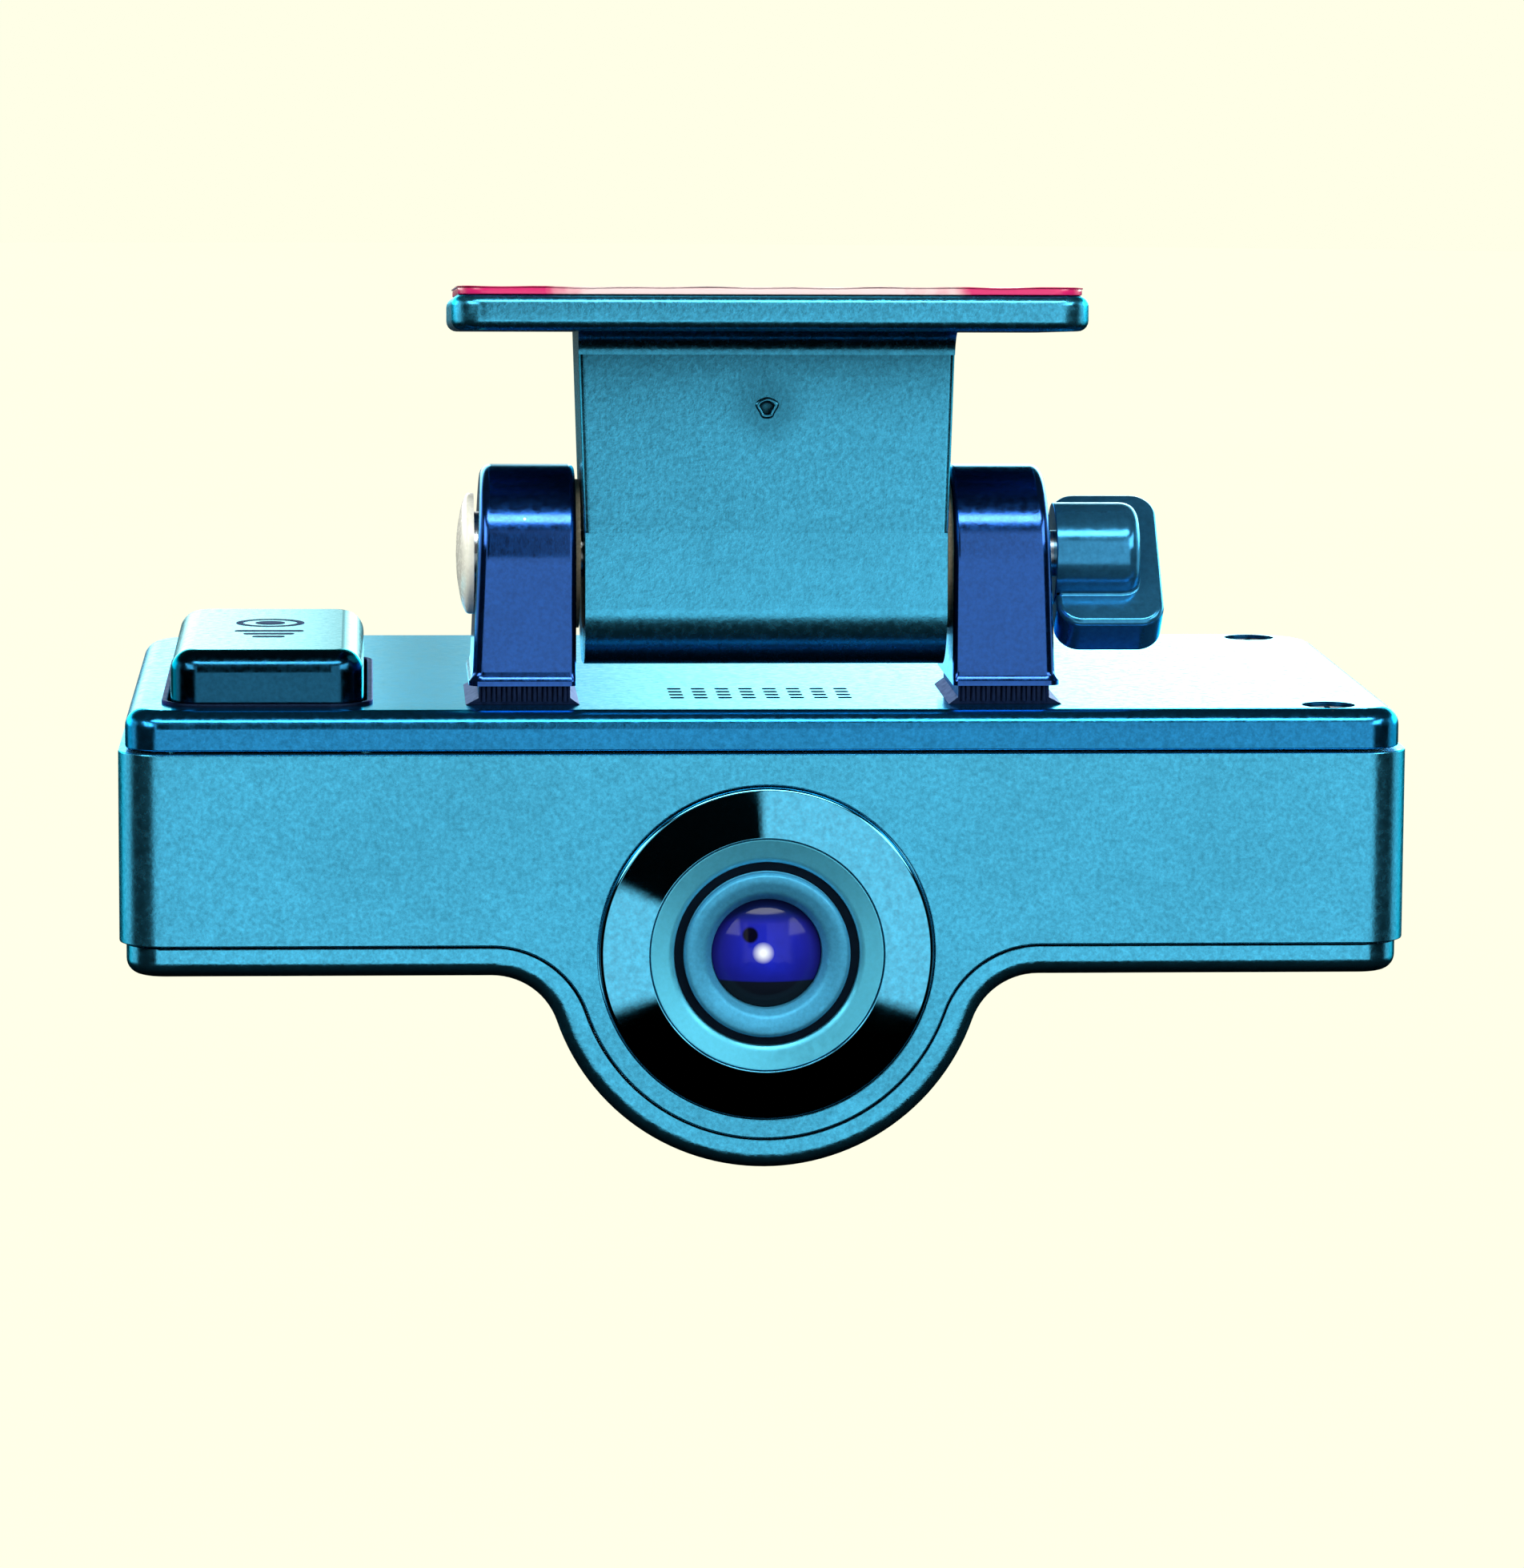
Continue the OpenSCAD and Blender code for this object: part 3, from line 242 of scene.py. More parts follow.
def fillet(profile, r_list, steps=5):
    """Rounds each corner of a polyline by its radius in r_list."""
    out = [profile[0]]
    for i in range(1, len(profile) - 1):
        a, b, c = (Vector(profile[k]) for k in (i - 1, i, i + 1))
        r = r_list[i]
        if r <= 0:
            out.append(tuple(b))
            continue
        reach = min(r, (a - b).length * 0.49, (c - b).length * 0.49)
        p, q = b + (a - b).normalized() * reach, b + (c - b).normalized() * reach
        for k in range(steps + 1):
            t = k / steps
            out.append(tuple(p * (1 - t) ** 2 + b * 2 * t * (1 - t) + q * t * t))
    out.append(profile[-1])
    return out


def as_object(name, bm):
    """Puts a bmesh, which is used up, into the scene."""
    mesh = bpy.data.meshes.new(name)
    bm.to_mesh(mesh)
    bm.free()
    obj = bpy.data.objects.new(name, mesh)
    bpy.context.scene.collection.objects.link(obj)
    return obj


def boolean(bm, others, operation):
    """Returns bm cut, joined or trimmed by the other bmeshes, which are used up."""
    base = as_object("base", bm)
    tools = [as_object("tool", other) for other in others]
    for tool in tools:
        mod = base.modifiers.new("cut", "BOOLEAN")
        mod.operation = operation
        mod.solver = "EXACT"
        mod.object = tool
    bpy.context.view_layer.update()
    shaped = base.evaluated_get(bpy.context.evaluated_depsgraph_get())
    out = bmesh.new()
    out.from_mesh(shaped.to_mesh())
    for obj in [base] + tools:
        mesh = obj.data
        bpy.data.objects.remove(obj)
        bpy.data.meshes.remove(mesh)
    bmesh.ops.remove_doubles(out, verts=out.verts, dist=2e-6)
    bmesh.ops.dissolve_limit(out, angle_limit=FLAT_ANGLE, verts=out.verts, edges=out.edges)
    return out


def joined(parts):
    """Several bmeshes as one, without cutting them."""
    out = bmesh.new()
    for part in parts:
        mesh = bpy.data.meshes.new("part")
        part.to_mesh(mesh)
        part.free()
        out.from_mesh(mesh)
        bpy.data.meshes.remove(mesh)
    return out


def sharp_edges(bm, limit=28, keep=None):
    """Edges that turn by more than limit degrees, and that keep(middle of the edge in mm) accepts."""
    found = []
    for e in bm.edges:
        if len(e.link_faces) != 2 or e.calc_face_angle(0) < math.radians(limit):
            continue
        middle = in_body((e.verts[0].co + e.verts[1].co) / 2)
        if keep is None or keep(*middle):
            found.append(e)
    return found


def soften(bm, width, segments, limit=28, keep=None):
    """Rounds sharp edges by a width in mm."""
    bmesh.ops.bevel(
        bm,
        geom=sharp_edges(bm, limit, keep),
        offset=width * MM,
        offset_type="OFFSET",
        segments=segments,
        profile=0.5,
        affect="EDGES",
        clamp_overlap=False,
    )
    bmesh.ops.remove_doubles(bm, verts=bm.verts, dist=1e-6)


def piece(name, bm, body, material, replaces=()):
    """Makes a finished piece, with its shading, material, body and the nodes it stands for."""
    bmesh.ops.recalc_face_normals(bm, faces=bm.faces)
    for f in bm.faces:
        f.smooth = True
    for e in bm.edges:
        e.smooth = len(e.link_faces) == 2 and e.calc_face_angle(0) < SMOOTH_ANGLE
    obj = as_object(name, bm)
    obj.data.materials.append(MATERIALS[material])
    mod = obj.modifiers.new("weighted", "WEIGHTED_NORMAL")
    mod.keep_sharp = True
    mod.weight = CORNER_WEIGHT
    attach(obj, body)
    if replaces:
        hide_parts(*replaces)


# ---------------------------------------------------------------- materials


class Nodes:
    """A new material and short ways to add its nodes."""

    def __init__(self, name):
        self.material = bpy.data.materials.new(name)
        self.material.use_nodes = True
        self.tree = self.material.node_tree
        self.shader = self.tree.nodes["Principled BSDF"]
        self.place = self.add("ShaderNodeTexCoord").outputs["Object"]

    def add(self, kind, inputs=None, **settings):
        node = self.tree.nodes.new(kind)
        for key, value in settings.items():
            setattr(node, key, value)
        for key, value in (inputs or {}).items():
            if isinstance(value, bpy.types.NodeSocket):
                self.tree.links.new(value, node.inputs[key])
            else:
                node.inputs[key].default_value = value
        return node

    def noise(self, scale, detail=3.0, roughness=0.6):
        settings = {"Vector": self.place, "Scale": scale, "Detail": detail, "Roughness": roughness}
        return self.add("ShaderNodeTexNoise", settings).outputs["Fac"]

    def ramp(self, value, stops):
        node = self.add("ShaderNodeValToRGB", {"Fac": value})
        ramp = node.color_ramp
        while len(ramp.elements) < len(stops):
            ramp.elements.new(0.5)
        for element, (position, colour) in zip(ramp.elements, stops):
            element.position = position
            element.color = (*colour, 1.0)
        return node.outputs["Color"]

    def span(self, value, low, high, to_low, to_high):
        settings = {"Value": value, "From Min": low, "From Max": high, "To Min": to_low, "To Max": to_high}
        return self.add("ShaderNodeMapRange", settings).outputs["Result"]

    def mix(self, factor, a, b, blend="MIX"):
        node = self.add("ShaderNodeMix", data_type="RGBA", blend_type=blend)
        for socket, value in ((node.inputs[0], factor), (node.inputs[6], a), (node.inputs[7], b)):
            if isinstance(value, bpy.types.NodeSocket):
                self.tree.links.new(value, socket)
            elif isinstance(value, (int, float)):
                socket.default_value = value
            else:
                socket.default_value = (*value, 1.0)
        return node.outputs[2]

    def maths(self, operation, a, b=0.0):
        return self.add("ShaderNodeMath", {0: a, 1: b}, operation=operation).outputs[0]

    def bump(self, height, strength, distance):
        settings = {"Height": height, "Strength": strength, "Distance": distance}
        return self.add("ShaderNodeBump", settings).outputs["Normal"]

    def distance(self, a, b):
        return self.add("ShaderNodeVectorMath", {0: a, 1: b}, operation="DISTANCE").outputs["Value"]

    def part(self, vector, axis):
        return self.add("ShaderNodeSeparateXYZ", {0: vector}).outputs[axis]

    def link(self, value, socket):
        self.tree.links.new(value, self.shader.inputs[socket])

    def set(self, socket, value):
        self.shader.inputs[socket].default_value = value


def shade(colour, factor):
    """A colour made darker or lighter."""
    return tuple(min(1.0, c * factor) for c in colour)


def moulded_nodes(
    name, colour, rough=0.42, grain=2600.0, grain_depth=0.25, speckle=0.22, edge=1.5,
    coat=0.0, metallic=0.0, tint=(0.22, 0.83, 0.97),
):
    """Moulded plastic: fine grain in colour, roughness and relief, paler worn edges and a little dust."""
    n = Nodes(name)
    fine = n.noise(grain, 2.0, 0.7)
    coarse = n.noise(90.0, 4.0, 0.55)
    base = n.ramp(fine, [(0.30, shade(colour, 1 - speckle)), (0.72, shade(colour, 1 + speckle))])
    cloudy = n.span(coarse, 0.3, 0.7, 0.93, 1.07)
    clouds = n.add("ShaderNodeCombineColor", {0: cloudy, 1: cloudy, 2: cloudy}).outputs[0]
    base = n.mix(1.0, base, clouds, "MULTIPLY")
    pointed = n.add("ShaderNodeNewGeometry").outputs["Pointiness"]
    rubbed = n.maths("MULTIPLY", n.span(pointed, 0.52, 0.60, 0.0, 1.0), n.noise(700.0))
    base = n.mix(n.span(rubbed, 0.2, 0.7, 0.0, 0.5), base, shade(colour, edge))
    dust_cells = n.add("ShaderNodeTexVoronoi", {"Vector": n.place, "Scale": 260.0})
    near = n.span(dust_cells.outputs["Distance"], 0.0, 0.045, 1.0, 0.0)
    rare = n.span(dust_cells.outputs["Color"], 0.80, 0.82, 0.0, 0.8)
    base = n.mix(n.maths("MULTIPLY", near, rare), base, DUST)
    n.link(base, "Base Color")
    n.link(n.span(n.noise(grain * 0.6, 3.0), 0.25, 0.75, rough - 0.06, rough + 0.08), "Roughness")
    n.link(n.bump(fine, grain_depth, 0.00005), "Normal")
    n.set("Metallic", metallic)
    if metallic:
        n.set("Specular Tint", (*tint, 1.0))
    n.set("Coat Weight", coat)
    n.set("Coat Roughness", 0.12)
    return n, base


def moulded(name, colour, **finish):
    """Plain moulded plastic."""
    return moulded_nodes(name, colour, **finish)[0].material


def bracket_plastic(name, colour):
    """Bracket plastic, with painted shade: darker round the mark of the moulding gate, and darker where it is
    sheltered.
    """
    n, base = moulded_nodes(name, colour, rough=0.24, speckle=0.24, metallic=0.96)
    ring = {"From Min": 0.6 * MM, "From Max": 4.6 * MM, "To Min": 0.55, "To Max": 0.0}
    ring["Value"] = n.distance(n.place, leaning(0, NECK_FRONT, GATE_RISE))
    # Painted shade: the colour darkens towards the gate mark.
    painted_gate_shade = n.add("ShaderNodeMapRange", ring, interpolation_type="SMOOTHERSTEP").outputs["Result"]
    base = n.mix(painted_gate_shade, base, shade(colour, 0.35))
    # Painted shade: the colour goes nearly black where the surface is sheltered, as under the knuckle and below
    # the plate.
    painted_shelter_shade = n.add("ShaderNodeAmbientOcclusion", {"Distance": 12 * MM}, samples=8).outputs["AO"]
    base = n.mix(n.span(painted_shelter_shade, 0.50, 0.88, 0.97, 0.0), base, shade(colour, 0.03))
    n.link(base, "Base Color")
    return n.material


def polished(name, colour, rough=0.06, metallic=0.0):
    """Polished dark plastic with faint smears."""
    n = Nodes(name)
    smear = n.noise(160.0, 5.0, 0.6)
    base = n.ramp(n.noise(2200.0), [(0.3, shade(colour, 0.8)), (0.7, shade(colour, 1.25))])
    n.link(base, "Base Color")
    n.link(n.span(smear, 0.3, 0.75, rough, rough + 0.04), "Roughness")
    n.link(n.bump(smear, 0.03, 0.0002), "Normal")
    n.set("Metallic", metallic)
    n.set("Coat Weight", 0.6)
    n.set("Coat Roughness", 0.02)
    n.set("Specular IOR Level", 0.8)
    return n.material


def metal(name, colour, rough=0.3):
    """Plated metal with fine brushing and tarnish."""
    n = Nodes(name)
    tarnish = n.noise(350.0, 5.0)
    n.link(n.ramp(tarnish, [(0.3, shade(colour, 0.8)), (0.7, shade(colour, 1.1))]), "Base Color")
    n.link(n.span(n.noise(2500.0), 0.2, 0.8, rough - 0.08, rough + 0.12), "Roughness")
    n.link(n.bump(n.noise(3000.0), 0.15, 0.00003), "Normal")
    n.set("Metallic", 1.0)
    return n.material


def coated_glass(name):
    """Front element: blue-violet coating, with painted reflections on it: a darker band at the top, a near-black
    band at the bottom, a black dot up to the left and a white highlight near the middle.
    """
    n = Nodes(name)
    off = n.add("ShaderNodeVectorMath", {0: n.place, 1: round_lens(0, 0, 0)}, operation="SUBTRACT").outputs[0]
    flat = n.add("ShaderNodeVectorMath", {0: off, 1: (1.0, 0.0, 1.0)}, operation="MULTIPLY").outputs[0]
    height = n.part(flat, "Z")

    def spot(x, z, inner, outer):
        """One inside the inner radius, nothing outside the outer one."""
        return n.span(n.distance(flat, (x * MM, 0.0, z * MM)), inner * MM, outer * MM, 1.0, 0.0)

    def layer(mask, colour):
        return n.mix(mask, base, colour)

    base = n.mix(spot(0, 0, 0.5, 4.6), (0.012, 0.012, 0.17), (0.012, 0.022, 0.55))
    base = layer(n.span(n.noise(420.0, 3.0), 0.35, 0.7, 0.0, 0.4), (0.008, 0.012, 0.20))
    # Painted reflection: a darker band across the top of the glass.
    base = layer(n.span(height, 2.6 * MM, 3.6 * MM, 0.0, 0.8), (0.004, 0.012, 0.06))
    # Painted reflection: a near-black band across the bottom of the glass.
    base = layer(n.span(height, -2.25 * MM, -2.4 * MM, 0.0, 0.95), (0.006, 0.010, 0.006))
    # Painted reflection: a small black dot up to the left.
    base = layer(spot(-1.45, 1.7, 0.55, 0.75), (0.002, 0.002, 0.01))
    # Painted highlight: a white spot near the middle.
    base = layer(spot(-0.35, 0.2, 0.25, 0.95), (0.85, 0.9, 1.0))
    n.link(base, "Base Color")
    n.link(n.span(n.noise(900.0), 0.3, 0.8, 0.05, 0.12), "Roughness")
    n.set("Specular IOR Level", 0.12)
    return n.material


def film(name, colour):
    """Thin red release film, glossy, paler along the middle of its front edge."""
    n = Nodes(name)
    patch = n.noise(120.0, 4.0)
    ragged = n.span(patch, 0.3, 0.7, -6 * MM, 6 * MM)
    reach = n.maths("ADD", n.maths("ABSOLUTE", n.part(n.place, "X")), ragged)
    middle = n.span(reach, 13 * MM, 19 * MM, 0.8, 0.0)
    front = leaning(0, FILM_FRONT, PLATE_RISE).y
    edge = n.span(n.part(n.place, "Y"), front + 1 * MM, front + 4 * MM, 1.0, 0.0)
    n.link(n.mix(n.maths("MULTIPLY", middle, edge), colour, (0.97, 0.86, 0.84)), "Base Color")
    n.link(n.span(patch, 0.2, 0.8, 0.12, 0.3), "Roughness")
    n.link(n.bump(n.noise(300.0, 2.0), 0.3, 0.0002), "Normal")
    return n.material


CASE = (0.050, 0.345, 0.560)
DUST = (0.75, 0.9, 0.9)
SMOOTH = {"speckle": 0.15, "grain_depth": 0.08}
SHINY = {"metallic": 0.96}
DARK = {"metallic": 0.9, "tint": (0.2, 0.35, 0.6)}
MATERIALS = {
    "case": moulded("case_grained", CASE, rough=0.24, **SHINY),
    "cover": moulded("cover_grained", (0.014, 0.17, 0.38), rough=0.17, grain_depth=0.10, **SHINY),
    "lower": moulded("lower_grained", CASE, rough=0.18, **SHINY),
    "bracket": bracket_plastic("bracket_grained_painted_shade", CASE),
    "ear": moulded("ear_smooth", (0.009, 0.065, 0.28), rough=0.16, coat=0.3, **SMOOTH, **SHINY),
    "knob": moulded("knob_smooth", (0.03, 0.19, 0.38), rough=0.18, grain=2000.0, metallic=0.7, **SMOOTH),
    "key": moulded(
        "key_smooth", (0.008, 0.065, 0.13), rough=0.16, metallic=1.0, tint=(0.35, 0.92, 1.0), **SMOOTH
    ),
    # Painted highlight: the cap's cream colour stands for its brightly lit face, not for its own colour.
    "cap": moulded("cap_painted_highlight", (0.97, 0.98, 0.84), rough=0.25, speckle=0.05, grain_depth=0.05),
    "foot": moulded("foot_rubber", (0.008, 0.016, 0.045), rough=0.4, speckle=0.3, **DARK),
    "dark": moulded("dark_moulded", (0.006, 0.014, 0.035), rough=0.4, speckle=0.25, **DARK),
    # A near-black finish for the ring in the barrel's gap, which is painted shade.
    "gap": metal("gap_painted_shade", (0.004, 0.010, 0.020), rough=0.5),
    "print": moulded(
        "printed_ink", (0.01, 0.03, 0.08), rough=0.45, speckle=0.3, metallic=0.9, tint=(0.15, 0.3, 0.5)
    ),
    "gloss": polished("trim_polished", (0.045, 0.35, 0.56), rough=0.02, metallic=1.0),
    "satin": moulded(
        "cone_satin", (0.09, 0.50, 0.72), rough=0.34, speckle=0.06, grain_depth=0.05, metallic=0.6
    ),
    "barrel": moulded(
        "barrel_satin", (0.05, 0.30, 0.52), rough=0.42, speckle=0.12, grain_depth=0.1, metallic=0.35
    ),
    "glass": coated_glass("glass_coated_painted_reflections"),
    "film": film("film_red", (0.62, 0.01, 0.13)),
    "tape": film("tape_red", (0.70, 0.02, 0.16)),
    "steel": metal("steel_plated", (0.62, 0.64, 0.66)),
    "black_steel": metal("steel_black", (0.03, 0.05, 0.10), rough=0.4),
    "board": moulded("board_mask", (0.01, 0.16, 0.06), rough=0.3, speckle=0.15),
    "chip": moulded("chip_epoxy", (0.02, 0.02, 0.025), rough=0.5, speckle=0.2),
    "ceramic": moulded("ceramic_fired", (0.60, 0.50, 0.30), rough=0.5, speckle=0.08),
    "sleeve": polished("cell_sleeve", (0.03, 0.06, 0.30), rough=0.25),
    "card": moulded("card_moulded", (0.02, 0.03, 0.06), rough=0.4, speckle=0.2),
    "lamp": moulded("lamp_clear", (0.60, 0.72, 0.70), rough=0.2, speckle=0.08),
    "fibre": moulded("fibre_pressed", (0.35, 0.30, 0.20), rough=0.8, speckle=0.3),
}

# ---------------------------------------------------------------- case


SEAM_ROLL = 0.18  # the top cover's lower edge
BAND_ROLL = 0.16
HOLE_ROLL = 0.14
COVER_T = 1.8
PAST = 5  # how far a cutter runs past what it cuts
DEEP = -60  # below everything

KEY_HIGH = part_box("record_key")[1]
BEZEL_LOW, BEZEL_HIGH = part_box("key_bezel")
KEY_MARGIN = 0.3
KEY_R = 2.8
KEY_ROLL = 1.9
BEZEL_W = 0.5
BEZEL_H = 0.3
BEZEL_R = 4.0
BEZEL_ROLL = 0.12
WELL_R = 3.1
KEY_X0, KEY_Y0 = (v + BEZEL_W + KEY_MARGIN for v in in_body(BEZEL_LOW)[:2])
KEY_X1, KEY_Y1 = (v - BEZEL_W - KEY_MARGIN for v in in_body(BEZEL_HIGH)[:2])

SCREW_X = BODY_HALF - 6.6
SCREW_FRONT_Y = 4.3
SCREW_REAR_Y = BODY_DEPTH - 4.6
CASE_SCREWS = [(SCREW_X, SCREW_FRONT_Y), (SCREW_X, SCREW_REAR_Y), (-SCREW_X, SCREW_REAR_Y)]
SCREW_RECESS_R, SCREW_RECESS_H = 2.3, 1.4
VENT_COLUMNS, VENT_ROWS = 8, 4
VENT_PITCH_X, VENT_PITCH_Y = 2.07, 2.1
VENT_W, VENT_D, VENT_R, VENT_FRONT = 1.2, 1.1, 0.25, 9.4
SPEAKER_Y, SPEAKER_RING_R, SPEAKER_HOLE_R = 41, 4, 0.8
CARD_GAP = 0.3
SOCKET_GAP = 0.05
TRIM_GAP = 0.08
SKIN = 0.05  # closer to an outer wall than this counts as on it


def slab(x0, x1, y0, y1, z0, z1):
    """A plain block used as a cutter."""
    return solid([(x0, y0), (x1, y0), (x1, y1), (x0, y1)], z0, z1, upright)


def bar(place, r, low, high, steps=48):
    """A plain round bar used as a cutter."""
    return turned([(0, low), (r, low), (r, high), (0, high)], place, steps)


def key_outline(margin, r):
    """Plan of the record key, grown by a margin."""
    return rounded_rect(KEY_X0 - margin, KEY_X1 + margin, KEY_Y0 - margin, KEY_Y1 + margin, r, r)


def keel_bar(inset):
    """The front outline of bar and keel, run through the whole body."""
    return solid(keel_outline(inset), -PAST, BODY_DEPTH + PAST, backward)


def build_band():
    """The middle of the case in one shell, open above and below."""
    band = solid(plan_outline(0), DEEP, -COVER_H - SEAM, upright)
    band = boolean(band, [keel_bar(LOW_COVER_T + SEAM)], "INTERSECT")
    band = boolean(band, [solid(plan_outline(WALL), DEEP - 10, PAST, upright)], "DIFFERENCE")
    cutters = [bar(round_backward(0, -LENS_DROP), TRIM_R + TRIM_GAP, -PAST, PAST, 144)]
    low, high = (in_body(p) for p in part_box("power_socket"))
    rear, behind = BODY_DEPTH - PAST, BODY_DEPTH + PAST
    left, right, over = low[0] - SOCKET_GAP, high[0] + SOCKET_GAP, high[2] + SOCKET_GAP
    cutters.append(slab(left, right, rear, behind, low[2], over))
    low, high = (in_body(p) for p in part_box("memory_card"))
    front, back, under, over = low[1] - CARD_GAP, high[1] + CARD_GAP, low[2] - CARD_GAP, high[2] + CARD_GAP
    cutters.append(slab(BODY_HALF - PAST, BODY_HALF + PAST, front, back, under, over))
    for x, z, r in rear_holes():
        cutters.append(bar(round_backward(x, z), r, rear, behind))
    band = boolean(band, [joined(cutters)], "DIFFERENCE")
    soften(band, BAND_ROLL, 2, limit=50, keep=lambda x, y, z: on_skin(x, y))
    piece("middle_band_shell", band, "camera", "case", BAND_NODES)


def build_top_cover():
    """The lid, with the key's well, the screw recesses and the vents."""
    cover = solid(plan_outline(COVER_INSET), -COVER_H, 0, upright)
    soften(cover, TOP_ROLL, 8, keep=lambda x, y, z: z > -0.1)
    soften(cover, SEAM_ROLL, 2, limit=60, keep=lambda x, y, z: z < -COVER_H + 0.1)
    hollow = solid(plan_outline(COVER_INSET + WALL), -COVER_H - 1, -COVER_T, upright)
    cover = boolean(cover, [hollow], "DIFFERENCE")
    holes = [solid(key_outline(KEY_MARGIN, WELL_R), -PAST, PAST, upright)]
    for x, y in CASE_SCREWS:
        holes.append(bar(round_upright(x, y), SCREW_RECESS_R, -SCREW_RECESS_H, PAST))
    for i in range(VENT_COLUMNS):
        for j in range(VENT_ROWS):
            x = (i - (VENT_COLUMNS - 1) / 2) * VENT_PITCH_X
            y = VENT_FRONT + j * VENT_PITCH_Y
            vent = rounded_rect(x - VENT_W / 2, x + VENT_W / 2, y, y + VENT_D, VENT_R, VENT_R, 3)
            holes.append(solid(vent, -PAST, PAST, upright))
    cover = boolean(cover, [joined(holes)], "DIFFERENCE")
    piece("top_cover_shell", cover, "camera", "cover", ["top_cover"])


def build_lower_cover():
    """The tray below the band, which follows bar and keel, with the speaker's holes."""
    lower = solid(plan_outline(COVER_INSET), DEEP, PAST, upright)
    lower = boolean(lower, [keel_bar(0)], "INTERSECT")
    soften(lower, LOW_ROLL, 8, keep=lambda x, y, z: z < -BAR_H + 2.5)
    lower = boolean(lower, [keel_bar(LOW_COVER_T)], "DIFFERENCE")
    spots = [(0, SPEAKER_Y)] + arc(0, SPEAKER_Y, SPEAKER_RING_R, 0, 300, 5)
    holes = [bar(round_upright(x, y), SPEAKER_HOLE_R, DEEP, -LENS_DROP - 12, 24) for x, y in spots]
    lower = boolean(lower, [joined(holes)], "DIFFERENCE")
    soften(lower, HOLE_ROLL, 2, limit=60, keep=lambda x, y, z: 0.7 > y or y > BODY_DEPTH - 0.7)
    piece("lower_cover_shell", lower, "camera", "lower", ["lower_cover"])


def rear_holes():
    """Round openings in the rear wall as (x, height, radius)."""
    holes = []
    for name, r in (("video_socket", 2.9), ("microphone", 0.7), ("mode_button", 2.9)):
        low, high = (in_body(p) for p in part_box(name))
        holes.append(((low[0] + high[0]) / 2, (low[2] + high[2]) / 2, r))
    low, high = (in_body(p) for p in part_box("light_pipes"))
    r = (high[2] - low[2]) / 2
    z = (low[2] + high[2]) / 2
    for i in range(3):
        x = low[0] + r + i * (high[0] - low[0] - 2 * r) / 2
        holes.append((x, z, r + SOCKET_GAP))
    return holes


def on_skin(x, y):
    """True on the body's outer walls."""
    return y < SKIN or y > BODY_DEPTH - SKIN or abs(x) > BODY_HALF - SKIN or in_corner(x, y)


def in_corner(x, y):
    """True on the outer face of one of the round plan corners."""
    for r, cy, sign in ((FRONT_R, FRONT_R, -1), (REAR_R, BODY_DEPTH - REAR_R, 1)):
        dx, dy = abs(x) - (BODY_HALF - r), (y - cy) * sign
        if dx > 0 and dy > 0 and math.hypot(dx, dy) > r - 0.08:
            return True
    return False


# ---------------------------------------------------------------- bracket, ears and hinge

EAR_INNER = -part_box("left_ear")[1].x / MM
EAR_FLARE = 0.35  # how far the ears spread at their feet
EAR_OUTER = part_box("right_ear")[1].x / MM - EAR_FLARE
EAR_R = 7.7
FOOT_H = 1.7
EAR_DRAFT = 0.7
FLARE_LIP = 0.4
FLARE_H = 1.2
ROLL_IN = 0.55  # edge rounding on the inner and the outer face
ROLL_OUT = 1.0

NECK_LOW_HALF = 15.4
NECK_HIGH_HALF = 16.1
NECK_BACK = 6.0
NECK_ROLL = 0.5
KNUCKLE_R = 9.3
CHIN_DROP = 4.3  # how far the neck's front runs straight down past the hinge
HOLLOW_R = 2.0  # hollow round under the plate
POCKET_HALF, POCKET_PITCH = 3.5, 9
POCKET_LOW, POCKET_HIGH = 10.4, 17.6
POCKET_FRONT, POCKET_BACK = 1.0, 8.0
GATE_R = 0.6
GATE_LOBES = 0.2


def across_bracket(u, v, w):
    """Outline in the bracket's own frame, as (across, height), carried back."""
    return leaning(u, w, v)


def along_bracket(u, v, w):
    """Outline in the bracket's own frame, as (depth, height), carried across."""
    return leaning(w, u, v)


def round_gate(r, angle, d):
    """Lathe place on the gate mark's axis, with three lobes."""
    reach = r * math.cos(angle) * (1 + GATE_LOBES * math.sin(3 * angle))
    return leaning(reach, d, GATE_RISE + r * math.sin(angle))


